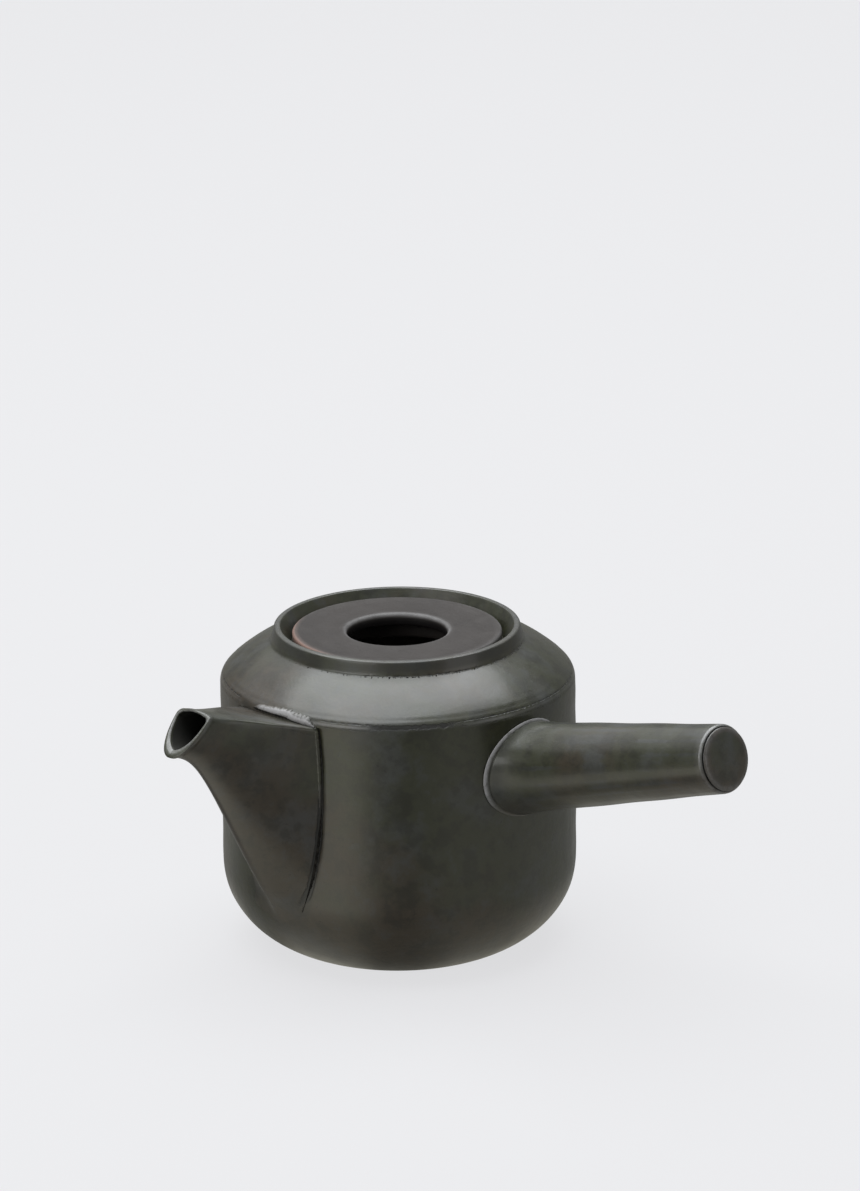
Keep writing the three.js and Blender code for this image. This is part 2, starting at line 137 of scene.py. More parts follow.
class KYUSU_PG_handle(PropertyGroup):
    """Sizes of the hollow side handle"""

    tilt: angle("Tilt", 14.8, "Rise of the handle's axis")
    height: length("Height", 0.0639, "Height of its axis where it meets the wall")
    reach: length("Length", 0.0804, "From the wall to its outer end, with the end disc")
    root_radius: length("Root Radius", 0.0133, "Radius of the cone at the wall")
    tip_radius: length("Tip Radius", 0.0099, "Radius of the cone at its end")
    wall: length("Wall", 0.003, "Thickness of the clay")
    flare_side: length("Side Flare", 0.0027, "How far the root spreads sideways")
    flare_up: length("Upper Flare", 0.0004, "How far the root spreads up and down")
    flare_length: length("Flare Length", 0.012, "How far from the wall the spreading starts")
    bead: length("Bead", 0.0007, "Height of the thin bead round the joint")
    bead_place: length("Bead Place", 0.00035, "How far the bead's crest lies from the wall")
    bead_width: length("Bead Width", 0.00028, "Half width of the bead")
    tip_rounding: length("Tip Rounding", 0.0011, "Radius of the clay's edge at the tip")
    disc_radius: length("Disc Radius", 0.0092, "Radius of the end disc")
    disc_thickness: length("Disc Thickness", 0.0009, "How far the end disc stands out")
    disc_rounding: length("Disc Rounding", 0.00082, "Radius of the end disc's edge")
    disc_gap: length("Disc Gap", 0.00016, "Groove between disc and handle")
    plug_depth: length("Plug Depth", 0.0024, "Of the disc's plug inside the hollow")


class KYUSU_PG_spout(PropertyGroup):
    """Sizes of the folded spout, in the upright plane of its keel"""

    root_width: length("Root Width", 0.0334, "Widest, on the wall")
    root_height: length("Root Height", 0.102, "Height of the ellipse that the root follows")
    root_middle: length("Root Middle", 0.063, "Height of that ellipse's centre")
    top_height: length("Top Height", 0.081, "Flat top where it meets the wall")
    lip_top_reach: length("Lip Top Reach", 0.0839, "The mouth's upper edge, out from the axis")
    lip_top_height: length("Lip Top Height", SPOUT_HIGH.z, "Height of the mouth's upper edge")
    lip_tip_reach: length("Lip Tip Reach", 0.0948, "The mouth's lowest point, out from the axis")
    lip_tip_height: length("Lip Tip Height", 0.0795, "Height of the mouth's lowest point")
    lip_width: length("Lip Width", 0.0129, "Width of the mouth")
    lip_fullness: number("Lip Fullness", 2.3, "2 is an ellipse")
    keel_foot_reach: length("Keel Foot Reach", 0.0502, "Where the keel leaves the wall, outwards")
    keel_foot_height: length("Keel Foot Height", 0.0142, "Where the keel leaves the wall, upwards")
    keel_bend_reach: length("Keel Bend Reach", 0.0831, "Where the keel turns flat, outwards")
    keel_bend_height: length("Keel Bend Height", 0.0751, "Where the keel turns flat, upwards")
    keel_softness: length("Keel Softness", 0.007, "Larger is a blunter keel")
    root_wall: length("Root Wall", 0.003, "Thickness of the clay at the wall")
    lip_wall: length("Lip Wall", 0.0012, "Thickness of the clay at the lip")
    top_rounding: length("Top Rounding", 0.0010, "Radius of the flat top's edges")
    mouth_rounding: length("Mouth Rounding", 0.0020, "Radius of the mouth's upper corners")
    rolled_lip: length("Rolled Lip", 0.00022, "How far the lip swells outwards")
    folded_share: share("Folded Share", 0.35, "Length that keeps the folded section")


class KYUSU_PG_strainer(PropertyGroup):
    """Sizes of the strainer plate and its clay pocket"""

    width: length("Width", 0.030, "Width of the plate")
    corner: length("Corner", 0.005, "Radius of the plate's corners")
    rim_width: length("Rim Width", 0.0026, "Width of the folded rim")
    rim_thickness: length("Rim Thickness", 0.0018, "Thickness of the folded rim")
    wall_gap: length("Wall Gap", 0.0008, "Between the rim and the pot's wall")
    wire_pitch: length("Wire Pitch", 0.00115, "From wire to wire")
    wire_radius: length("Wire Radius", 0.00018, "Radius of one wire")
    pocket_wall: length("Pocket Wall", 0.0025, "Thickness of the clay pocket")
    pocket_top: length("Pocket Top", 0.031, "Height of the pocket's rim")
    pocket_lip: length("Pocket Lip", 0.0034, "How far the pocket covers the plate's edge")


class KYUSU_PG_finish(PropertyGroup):
    """Colours of the glazes and the steel"""

    glaze: colour("Glaze", (0.024, 0.026, 0.0110), "Greenish charcoal of the pot")
    cloud: colour("Cloud", (0.036, 0.024, 0.014), "Brown clouds in the glaze")
    bloom: colour("Bloom", (0.038, 0.041, 0.042), "Blue-grey bloom where the glaze is thin")
    # Worn Edge also serves as painted highlight: on the handle's bead and clay tip, along the collar's crest
    # and the shoulder's edge, on the spout's top joint and round the lid's finger hole
    worn: colour("Worn Edge", (0.30, 0.295, 0.295), "Pale edges where the glaze ran off")
    lid: colour("Lid", (0.038, 0.033, 0.030), "Warm grey-brown of the lid")
    rust: colour("Rust", (0.22, 0.14, 0.115), "Reddish clay on the lid's bare edge")
    clay: colour("Clay", (0.075, 0.056, 0.044), "Unglazed clay under the base")
    inside: colour("Inside", (0.20, 0.18, 0.155), "Thin glaze inside the pot")
    steel: colour("Steel", (0.62, 0.62, 0.60), "Stainless steel of the strainer")
    roughness: share("Roughness", 0.40, "Roughness of the glaze")


class KYUSU_PG_stage(PropertyGroup):
    """The camera, read from the photograph, and the light"""

    azimuth: angle("Azimuth", 43.9, "Camera's turn from -Y")
    elevation: angle("Elevation", 19.19, "Camera's height")
    roll: angle("Roll", 0.67, "Lean of the picture")
    distance: length("Distance", 2.5, "From the camera to the target")
    target_height: length("Target Height", 0.045, "Height of the target on the pot's axis")
    picture_width: IntProperty(name="Picture Width", default=860, description="Pixels across")
    picture_height: IntProperty(name="Picture Height", default=1191, description="Pixels up")
    target_column: number("Target Column", 398.96, "Pixel column where the target lies")
    target_row: number("Target Row", 789.23, "Pixel row where the target lies")
    picture_scale: number("Picture Scale", 3365.9, "Pixels per metre at the target")
    backdrop: colour("Backdrop", (0.823, 0.823, 0.839), "Pale background as the camera sees it")
    floor: colour("Floor", (0.38, 0.38, 0.385), "Colour of the floor under the pot")


# Outlines

def rounded(before, corner, after, radius, steps=8):
    """Arc of that radius that touches the two straight lines of a corner, from its start to its end."""
    before, corner, after = (np.asarray(p, float) for p in (before, corner, after))
    back = (before - corner) / np.linalg.norm(before - corner)
    ahead = (after - corner) / np.linalg.norm(after - corner)
    half = math.acos(np.clip(back @ ahead, -1, 1)) / 2
    inwards = (back + ahead) / np.linalg.norm(back + ahead)
    middle = corner + inwards * radius / math.sin(half)
    start = corner + back * radius / math.tan(half) - middle
    turn = (math.pi - 2 * half) * np.sign(back[1] * ahead[0] - back[0] * ahead[1])
    angle = turn * np.linspace(0, 1, steps + 1)
    along = np.cos(angle) * start[0] - np.sin(angle) * start[1]
    across = np.sin(angle) * start[0] + np.cos(angle) * start[1]
    return middle + np.stack([along, across], -1)


def round_loop(corners, radii, steps):
    """A closed outline with its corners rounded, by one radius or by one for each corner."""
    radii = np.broadcast_to(radii, len(corners))
    around = zip(np.roll(corners, 1, 0), corners, np.roll(corners, -1, 0), radii)
    return np.concatenate([rounded(*corner, steps) for corner in around])


def spaced(outline, spacing):
    """The outline with points added where two lie further apart than the spacing, by its running length."""
    outline = np.asarray(outline, float)
    steps = np.linalg.norm(np.diff(outline, axis=0), axis=1)
    outline = outline[np.concatenate([[True], steps > 1e-7])]
    steps = steps[steps > 1e-7]
    parts = np.maximum(1, np.ceil(steps / spacing)).astype(int)
    run = np.concatenate([[0], np.cumsum(steps)])
    first = np.repeat(run[:-1], parts)
    inner = np.arange(parts.sum()) - np.repeat(np.cumsum(parts) - parts, parts)
    places = np.concatenate([first + inner * np.repeat(steps / parts, parts), run[-1:]])
    return np.stack([np.interp(places, run, column) for column in outline.T], -1)


def shoulder_at(pot, radius):
    """Height of the shoulder: a straight rise towards the collar, with a parabola for its crown."""
    inwards = (pot.body_radius - radius) / (pot.body_radius - pot.collar_radius)
    crown = 4 * pot.shoulder_crown * inwards * (1 - inwards)
    return pot.shoulder_height + pot.shoulder_rise * inwards + crown


def pot_corner(pot, offset, base, steps=24):
    """The curve from the flat base up to the wall: an ellipse whose lowest part the base cuts off."""
    cut = math.asin(pot.corner_cut)
    turn = cut + (math.pi / 2 - cut) * np.linspace(0, 1, steps + 1)
    out = (np.sin(turn) - math.sin(cut)) / (1 - math.sin(cut))
    lift = (math.cos(cut) - np.cos(turn)) / math.cos(cut)
    flat = pot.base_radius + offset
    reach = pot.body_radius + offset
    return np.stack([flat + (reach - flat) * out, base + (pot.corner_height - base) * lift], -1)


def pot_shoulder(pot, offset, steps=18):
    """From the wall over the round edge to the foot of the collar."""
    reach = pot.body_radius + offset
    run = 0.006
    edge = (reach, pot.shoulder_height + offset * 0.5)
    inner = (reach - run, edge[1] + shoulder_at(pot, pot.body_radius - run) - pot.shoulder_height)
    arc = rounded((reach, pot.corner_height), edge, inner, pot.shoulder_rounding + offset, 14)
    radius = arc[-1, 0] + (pot.collar_radius + offset - arc[-1, 0]) * np.linspace(0, 1, steps + 1)[1:]
    slope = np.stack([radius, edge[1] - pot.shoulder_height + shoulder_at(pot, radius - offset)], -1)
    return np.concatenate([arc, slope])


def outer_radius(pot, height):
    """Outside radius of the pot at a height, up to the shoulder."""
    side = np.concatenate([pot_corner(pot, 0, 0), pot_shoulder(pot, 0)])
    return np.interp(height, side[:, 1], side[:, 0])


# Meshes

def ring_faces(rows, columns, joined=False):
    """Quads of a grid whose columns close round the piece; joined closes its rows too."""
    row = np.arange(rows if joined else rows - 1)[:, None] * columns
    above = (row + columns) % (rows * columns)
    column = np.arange(columns)[None, :]
    after = (column + 1) % columns
    return np.stack([row + column, row + after, above + after, above + column], -1).reshape(-1, 4)


def pole_faces(first, columns, pole, upward):
    """Triangles from one ring of points to a single point."""
    here = first + np.arange(columns)
    after = first + (np.arange(columns) + 1) % columns
    ends = (here, after) if upward else (after, here)
    return np.stack([*ends, np.full(columns, pole)], -1)


def capped_faces(rows, columns, flipped=False):
    """Faces of a tube of rings, closed by two end points that follow the rings in the list of points."""
    sides, last = ring_faces(rows, columns), (rows - 1) * columns
    return [sides[:, ::-1] if flipped else sides, pole_faces(0, columns, rows * columns, flipped),
            pole_faces(last, columns, rows * columns + 1, not flipped)]


def turned_grid(outline, columns):
    """The turn of each column of a turned piece, and the radius and height of its outline in every column."""
    turn = 2 * math.pi * np.arange(columns) / columns
    return turn, np.repeat(outline[:, :1], columns, 1), np.repeat(outline[:, 1:], columns, 1)


def used_only(points, faces, values):
    """The mesh without the points that no face uses."""
    used = np.unique(np.concatenate([f.ravel() for f in faces]))
    place = np.zeros(len(points), int)
    place[used] = np.arange(len(used))
    return points[used], [place[f] for f in faces], {name: v[used] for name, v in values.items()}


def new_piece(name, grid, faces, material, body, node=None, values=None, ends=(),
              at_ends=None):
    """A smooth mesh object of a grid of points and its faces, riding on its body and standing for its node.

    The ends are single points after the grid's. A value is spread over the grid, and is 0 at the ends unless
    at_ends says otherwise.
    """
    points = np.concatenate([grid.reshape(-1, 3), np.reshape(ends, (-1, 3))])
    at_ends = at_ends or {}
    spread = {label: np.append(np.broadcast_to(value, grid.shape[:2]), at_ends.get(label, [0] * len(ends)))
              for label, value in (values or {}).items()}
    points, faces, spread = used_only(points, faces, spread)
    mesh = bpy.data.meshes.new(name)
    mesh.from_pydata(points.tolist(), [], [face for group in faces for face in group.tolist()])
    for label, value in spread.items():
        layer = mesh.attributes.new(label, "FLOAT", "POINT")
        layer.data.foreach_set("value", value.astype(np.float32))
    mesh.polygons.foreach_set("use_smooth", np.ones(len(mesh.polygons), bool))
    mesh.materials.append(material)
    mesh.update()
    piece = bpy.data.objects.new(name, mesh)
    bpy.context.scene.collection.objects.link(piece)
    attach(piece, body)
    if node:
        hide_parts(node)


def pot_piece(name, grid, faces, finish, node=None, values=None, ends=(), at_ends=None):
    """A piece of glazed clay that rides on the pot."""
    glaze = shared_material(charcoal_glaze, finish)
    new_piece(name, grid, faces, glaze, "pot", node, values, ends, at_ends)


def fade(value, low, high):
    """0 below low, 1 above high, and a smooth step between."""
    t = np.clip((value - low) / (high - low), 0, 1)
    return t * t * (3 - 2 * t)


def bump(value, place, width):
    """A bell curve of height 1 round a place."""
    return np.exp(-(((value - place) / width) ** 2))


# Materials

def add_node(tree, kind, inputs=None, **settings):
    """A shader node, with its inputs given as values or as other nodes' sockets."""
    node = tree.nodes.new(kind)
    for name, value in settings.items():
        setattr(node, name, value)
    for name, value in (inputs or {}).items():
        if isinstance(value, bpy.types.NodeSocket):
            tree.links.new(value, node.inputs[name])
        else:
            node.inputs[name].default_value = value
    return node


def noise(tree, place, scale, detail=3.0, roughness=0.5, stretch=None):
    """Noise with features about 1 / scale metres across, stretched along the axes if asked."""
    if stretch:
        place = add_node(tree, "ShaderNodeMapping", {"Vector": place, "Scale": stretch}).outputs["Vector"]
    inputs = {"Vector": place, "Scale": scale, "Detail": detail, "Roughness": roughness}
    return add_node(tree, "ShaderNodeTexNoise", inputs).outputs["Fac"]


def between(tree, value, low, high, to_low=0.0, to_high=1.0):
    """The value's way from low to high, as a smooth step from to_low to to_high."""
    inputs = {"Value": value, "From Min": low, "From Max": high, "To Min": to_low, "To Max": to_high}
    return add_node(tree, "ShaderNodeMapRange", inputs, interpolation_type="SMOOTHSTEP").outputs["Result"]


def calculate(tree, operation, a, b):
    """One step of arithmetic on two values or sockets."""
    return add_node(tree, "ShaderNodeMath", {0: a, 1: b}, operation=operation).outputs[0]


def times(tree, a, b):
    """Two values or sockets multiplied."""
    return calculate(tree, "MULTIPLY", a, b)


def plus(tree, a, b):
    """Two values or sockets added."""
    return calculate(tree, "ADD", a, b)


def reach_towards(tree, place, direction):
    """How far a place lies in a direction: their dot product."""
    node = add_node(tree, "ShaderNodeVectorMath", {0: place, 1: direction}, operation="DOT_PRODUCT")
    return node.outputs["Value"]


def layered(tree, base, coats):
    """The base colour with (factor, colour) coats laid over it in turn."""
    base = (*base, 1)
    for factor, coat in coats:
        inputs = {0: factor, 6: base, 7: (*coat, 1)}
        base = add_node(tree, "ShaderNodeMix", inputs, data_type="RGBA").outputs[2]
    return base


def empty_tree(owner):
    """The cleared node tree of a material or world."""
    owner.use_nodes = True
    owner.node_tree.nodes.clear()
    return owner.node_tree


def put_out(tree, kind, shader):
    """Links a shader to the tree's output, a new node of that kind."""
    tree.links.new(shader, tree.nodes.new(kind).inputs["Surface"])


def new_material(name):
    """An empty material with a principled shader: its tree, shader and object coordinates."""
    material = bpy.data.materials.new(name)
    tree = empty_tree(material)
    shader = tree.nodes.new("ShaderNodeBsdfPrincipled")
    put_out(tree, "ShaderNodeOutputMaterial", shader.outputs["BSDF"])
    return material, tree, shader, add_node(tree, "ShaderNodeTexCoord").outputs["Object"]


def dress(tree, shader, base, rough, fixed):
    """Links the shader's colour and roughness, and sets what is even all over on its own sockets."""
    tree.links.new(base, shader.inputs["Base Color"])
    tree.links.new(rough, shader.inputs["Roughness"])
    for name, value in fixed.items():
        shader.inputs[name].default_value = value


def attribute(tree, name):
    """A value stored on the piece's points."""
    return add_node(tree, "ShaderNodeAttribute", attribute_name=name).outputs["Fac"]


def raise_surface(tree, shader, heights):
    """Bump from several (height socket, depth in metres) pairs, one over the other."""
    normal = {}
    for height, depth in heights:
        inputs = {"Height": height, "Distance": depth, "Strength": 1.0, **normal}
        normal = {"Normal": add_node(tree, "ShaderNodeBump", inputs).outputs["Normal"]}
    tree.links.new(normal["Normal"], shader.inputs["Normal"])


def broken(tree, value, grain):
    """A mask with a ragged edge: the value, moved up and down by a fine noise, past a soft threshold."""
    moved = plus(tree, value, times(tree, calculate(tree, "SUBTRACT", grain, 0.5), 0.8))
    return times(tree, between(tree, moved, 0.35, 0.7), between(tree, value, 0.02, 0.15))


def charcoal_glaze(finish):
    """Satin olive-charcoal glaze with brown clouds, a cool bloom, specks, pale worn rims that are partly
    painted highlights, and creases darkened by pooled glaze and painted shade.
    """
    material, tree, shader, place = new_material("charcoal_glaze")
    clouds = noise(tree, place, 24, 5, 0.6)
    patches = noise(tree, place, 62, 4, 0.6)
    mottle = noise(tree, place, 170, 4, 0.6)
    ragged = noise(tree, place, 620, 3, 0.6)
    grain = noise(tree, place, 1300, 3, 0.6)
    rings = noise(tree, place, 330, 2, 0.5, (0.12, 0.12, 1))
    runs = noise(tree, place, 75, 3, 0.55, (1, 1, 0.15))
    streak, dry_and_shade = attribute(tree, "streak"), attribute(tree, "dry_and_shade")
    browner = plus(tree, clouds, times(tree, attribute(tree, "brown"), 0.16))
    drawn = plus(tree, patches, times(tree, streak, 0.10))
    wear_and_highlight = times(tree, attribute(tree, "wear_and_highlight"), between(tree, ragged, 0.25, 0.6, 0.35, 1.0))
    pool_and_shade = broken(tree, attribute(tree, "pool_and_shade"), ragged)
    height = add_node(tree, "ShaderNodeSeparateXYZ", {"Vector": place}).outputs["Z"]
    glaze_edge = plus(tree, height, times(tree, patches, 0.004))
    base = layered(tree, finish.glaze, [
        (between(tree, browner, 0.46, 0.66, 0, 0.75), finish.cloud),
        (between(tree, drawn, 0.48, 0.70, 0, 0.6), finish.bloom),
        (between(tree, mottle, 0.54, 0.38, 0, 0.5), (0.009, 0.009, 0.005)),
        (between(tree, mottle, 0.56, 0.70, 0, 0.35), finish.bloom),
        (between(tree, ragged, 0.68, 0.73, 0, 0.6), (0.006, 0.005, 0.004)),
        (attribute(tree, "inside"), finish.inside),
        # Pale wear, in places a painted highlight; near-black pooled glaze in creases, partly painted shade;
        # a darker tone where marked dry, which is painted shade in the spout's channel, by the handle's root
        # and at the shoulder's edge on the front
        (wear_and_highlight, finish.worn),
        (pool_and_shade, (0.004, 0.004, 0.003)),
        (times(tree, dry_and_shade, 0.5), (0.010, 0.010, 0.008)),
        (between(tree, glaze_edge, 0.0036, 0.0022), finish.clay)])
    rough = finish.roughness
    for change in (between(tree, patches, 0.3, 0.7, -0.05, 0.06),
                   between(tree, runs, 0.35, 0.65, -0.03, 0.04),
                   between(tree, mottle, 0.35, 0.7, -0.03, 0.05),
                   times(tree, streak, -0.035), times(tree, dry_and_shade, 0.3)):
        rough = plus(tree, change, rough)
    dress(tree, shader, base, rough, {"Specular IOR Level": 0.55, "Coat Weight": 0.5, "Coat Roughness": 0.2})
    raise_surface(tree, shader, [(patches, 0.0003), (mottle, 0.00007), (rings, 0.00008),
                                 (times(tree, pool_and_shade, -1), 0.0002), (grain, 0.00003)])
    return material


def dry_lid_glaze(finish):
    """Drier, warmer glaze for the lid, with a reddish bare edge on the side of the spout and painted shade
    down the finger hole's wall.
    """
    material, tree, shader, place = new_material("dry_lid_glaze")
    clouds = noise(tree, place, 40, 5, 0.6)
    mottle = noise(tree, place, 190, 4, 0.6)
    grain = noise(tree, place, 1500, 3, 0.6)
    specks = noise(tree, place, 800, 2, 0.5)
    wear_and_highlight = times(tree, attribute(tree, "wear_and_highlight"), between(tree, mottle, 0.3, 0.6, 0.45, 0.8))
    bare_side = between(tree, reach_towards(tree, place, (-0.52, -0.85, 0)), 0.021, 0.030)
    base = layered(tree, finish.lid, [
        (between(tree, clouds, 0.42, 0.62, 0, 0.6), [0.7 * part for part in finish.lid]),
        (between(tree, mottle, 0.5, 0.8, 0, 0.35), (0.062, 0.056, 0.052)),
        (between(tree, specks, 0.66, 0.71, 0, 0.5), (0.014, 0.012, 0.010)),
        (wear_and_highlight, finish.worn),
        (times(tree, attribute(tree, "rim"), bare_side), finish.rust),
        # Near black down the finger hole's wall: painted shade
        (attribute(tree, "hole_shade"), (0.005, 0.004, 0.004))])
    rough = plus(tree, between(tree, mottle, 0.3, 0.75, -0.05, 0.07), finish.roughness + 0.08)
    dress(tree, shader, base, rough, {"Specular IOR Level": 0.28})
    raise_surface(tree, shader, [(mottle, 0.00012), (grain, 0.00003)])
    return material


def crease_shade_material(finish):
    """Near-black matt material for thin tubes laid in creases and grooves, where it is painted shade."""
    material, tree, shader, place = new_material("crease_shade_material")
    grain = noise(tree, place, 900, 3, 0.6)
    base = layered(tree, (0.006, 0.006, 0.005), [(between(tree, grain, 0.35, 0.7), (0.024, 0.022, 0.018))])
    tree.links.new(base, shader.inputs["Base Color"])
    shader.inputs["Roughness"].default_value = 0.95
    shader.inputs["Specular IOR Level"].default_value = 0.1
    return material


def drawn_steel(finish):
    """Bright stainless wire with fine drawing marks."""
    material, tree, shader, place = new_material("drawn_steel")
    marks = noise(tree, place, 900, 3, 0.6, (1, 1, 0.1))
    base = layered(tree, finish.steel, [(marks, [0.8 * part for part in finish.steel])])
    dress(tree, shader, base, between(tree, marks, 0.3, 0.7, 0.25, 0.4), {"Metallic": 1.0})
    return material


def shared_material(make, finish):
    """The material of that name, made the first time that it is asked for."""
    return bpy.data.materials.get(make.__name__) or make(finish)


# Pot

# Points round the pieces, and the part of the pot's grid that the port and the hollow beside it take up.
POT_COLUMNS = 336
HANDLE_COLUMNS = 112
LID_COLUMNS = 192
ROLL_SIDES = 20
PORT_COLUMNS = 10
PORT_ROWS = 24
PORT_CROWDING = 0.45
BENT_ROWS_BELOW = 6
BENT_ROWS_ABOVE = 14
PALE_ROWS_ABOVE_PORT = 8
CREASE_DEPTH = 0.0006
AXIS_GAP = 0.0015


def pot_angles():
    """Turns round the pot from +Y, closer together behind the spout: a full circle with a sine added."""
    even = 2 * math.pi * (np.arange(POT_COLUMNS) / POT_COLUMNS)
    return math.pi / 2 + even + PORT_CROWDING * np.sin(even)


def stadium_reach(across, up, width, height):
    """How far along the ray (across, up) a stadium of that size reaches, as a share of the ray."""
    half, straight = width / 2, (height - width) / 2
    side = half / np.maximum(np.abs(across), 1e-9)
    cap = straight * np.abs(up)
    square = np.maximum(across**2 + up**2, 1e-18)
    arc = (cap + np.sqrt(np.maximum(cap**2 - square * (straight**2 - half**2), 0))) / square
    return np.where(side * np.abs(up) <= straight, side, arc)


def bend_to_port(pot, radius, turn, height, block):
    """Moves grid points near the port so that the block's edge lies on the port's outline.

    The square ring through a point is found by the larger of its two shares of the block; its place on the
    stadium along the same ray gives the shift, which fades out over a few millimetres.
    """
    middle, half_height = (pot.port_top + pot.port_bottom) / 2, (pot.port_top - pot.port_bottom) / 2
    across = radius * np.sin(turn)
    share_across, share_up = turn / block, (height - middle) / half_height
    ring = np.maximum(np.maximum(np.abs(share_across), np.abs(share_up)), 1e-6)
    ray_across, ray_up = share_across / ring * pot.port_width / 2, share_up / ring * half_height
    reach = stadium_reach(ray_across, ray_up, pot.port_width, pot.port_top - pot.port_bottom)
    shift_across = reach * ray_across - radius * np.sin(np.clip(turn / ring, -block, block))
    shift_up = reach * ray_up - share_up / ring * half_height
    outside = np.maximum(np.abs(across) - radius * math.sin(block), np.abs(height - middle) - half_height)
    weight = (1 - fade(outside, 0, 0.006)) * (np.abs(turn) < 1)
    moved = np.arcsin(np.clip((across + weight * shift_across) / radius, -1, 1))
    return np.where(weight > 0, moved, turn), height + weight * shift_up


def pot_rows(pot):
    """The pot's closed outline: its points, and the first row of the port on the outer and inner wall.

    Over the shoulder a hollow curve leads to the collar's leaning face, its narrow crest, the flared inside,
    the seat and the mouth, and then the inner wall goes down.
    """
    port = np.linspace(pot.port_bottom, pot.port_top, PORT_ROWS + 1)
    crest = POT_HIGH.z
    seat = crest - pot.seat_depth
    crest_reach = pot.collar_radius - pot.crest_inset
    collar_foot = (pot.collar_radius + 0.0003, pot.shoulder_height + pot.shoulder_rise)
    crest_outer = (crest_reach + pot.crest_width, crest - pot.crest_fall)
    crest_inner = (crest_reach, crest)
    seat_outer = (pot.collar_radius - pot.collar_thickness - pot.seat_flare, seat)
    seat_inner = (pot.mouth_radius, seat)
    mouth_under = (pot.mouth_radius, seat - pot.seat_thickness)

    def side(offset, bottom, spacing):
        reach = pot.body_radius + offset
        below = spaced(np.concatenate([[(AXIS_GAP, bottom)], pot_corner(pot, offset, bottom)]), 0.0022)
        upright = np.stack([np.full_like(port, reach), port], -1)
        above = spaced(np.concatenate([upright[-1:], pot_shoulder(pot, offset)]), spacing)[1:]
        return below, upright, above

    below, upright, above = side(0, 0, 0.0009)
    inner_below, inner_upright, inner_above = (part[::-1] for part in side(-pot.wall, pot.floor, 0.0014))
    shoulder = above[above[:, 0] > pot.collar_radius + 0.0016]
    crest_edge = rounded(crest_outer, crest_inner, seat_outer, 0.0004, 6)
    crest_edge[:, 1] += crest - crest_edge[:, 1].max()
    outside = np.concatenate([
        shoulder[-1:],
        rounded(shoulder[-1], collar_foot, crest_outer, pot.foot_rounding, 6),
        rounded(collar_foot, crest_outer, crest_inner, pot.crest_rounding, 8),
        crest_edge,
        rounded(crest_inner, seat_outer, seat_inner, 0.0004, 3)])
    inside = np.concatenate([
        outside[-1:],
        rounded(seat_outer, seat_inner, mouth_under, 0.0006, 5),
        rounded(seat_inner, mouth_under, inner_above[0], 0.0008, 5),
        inner_above[:1]])
    top = np.concatenate([shoulder[:-1], spaced(outside, 0.0006), spaced(inside, 0.0011)[1:]])
    outline = np.concatenate([below, upright, top, inner_above[1:], inner_upright, inner_below])
    first_inner = len(below) + len(upright) + len(top) + len(inner_above) - 1
    return outline, len(below), first_inner


def pot_unevenness(pot, turn, radius, height):
    """A few slow waves round and up the wall, as the maker's hands leave them; none on the base or seat."""
    waves = np.sin(3 * turn + 0.8) + 0.7 * np.sin(7 * turn + 90 * height)
    waves = waves + 0.5 * np.sin(11 * turn - 60 * height)
    waves = waves + 0.6 * np.sin(520 * height + 0.6 * np.sin(2 * turn))
    wall = fade(height, 0.002, 0.015) * (1 - fade(height, 0.076, 0.082)) * fade(radius, 0.040, 0.048)
    return pot.unevenness * waves * wall


def port_edge(first, inner):
    """Places in the grid round the port's edge, seen from outside; the inner wall's rows run downwards."""
    low, high = POT_COLUMNS // 2 - PORT_COLUMNS, POT_COLUMNS // 2 + PORT_COLUMNS
    rising = (first + np.arange(PORT_ROWS + 1))[::-1 if inner else 1] * POT_COLUMNS
    across = np.arange(low, high + 1)
    return np.concatenate([
        rising[0] + across[:-1], rising[:-1] + high, rising[-1] + across[::-1][:-1], rising[::-1][:-1] + low])


def beside_spout(pot, spout, from_spout, radius, height):
    """The narrow hollow in the wall along the spout's root, only high up on the left side."""
    crease = np.abs(radius * np.sin(from_spout)) - root_half_width(spout, height)
    spread = 0.0006 + 0.0003 * (1 - fade(height, 0.045, 0.062))
    hollow = bump(crease, 0.0001, spread) * fade(height, 0.021, 0.030) * (1 - fade(height, 0.0795, 0.0810))
    hollow = hollow * (np.abs(from_spout) < 1) * (radius > pot.body_radius - 0.001)
    return hollow * np.maximum(from_spout > 0, fade(height, 0.048, 0.060))


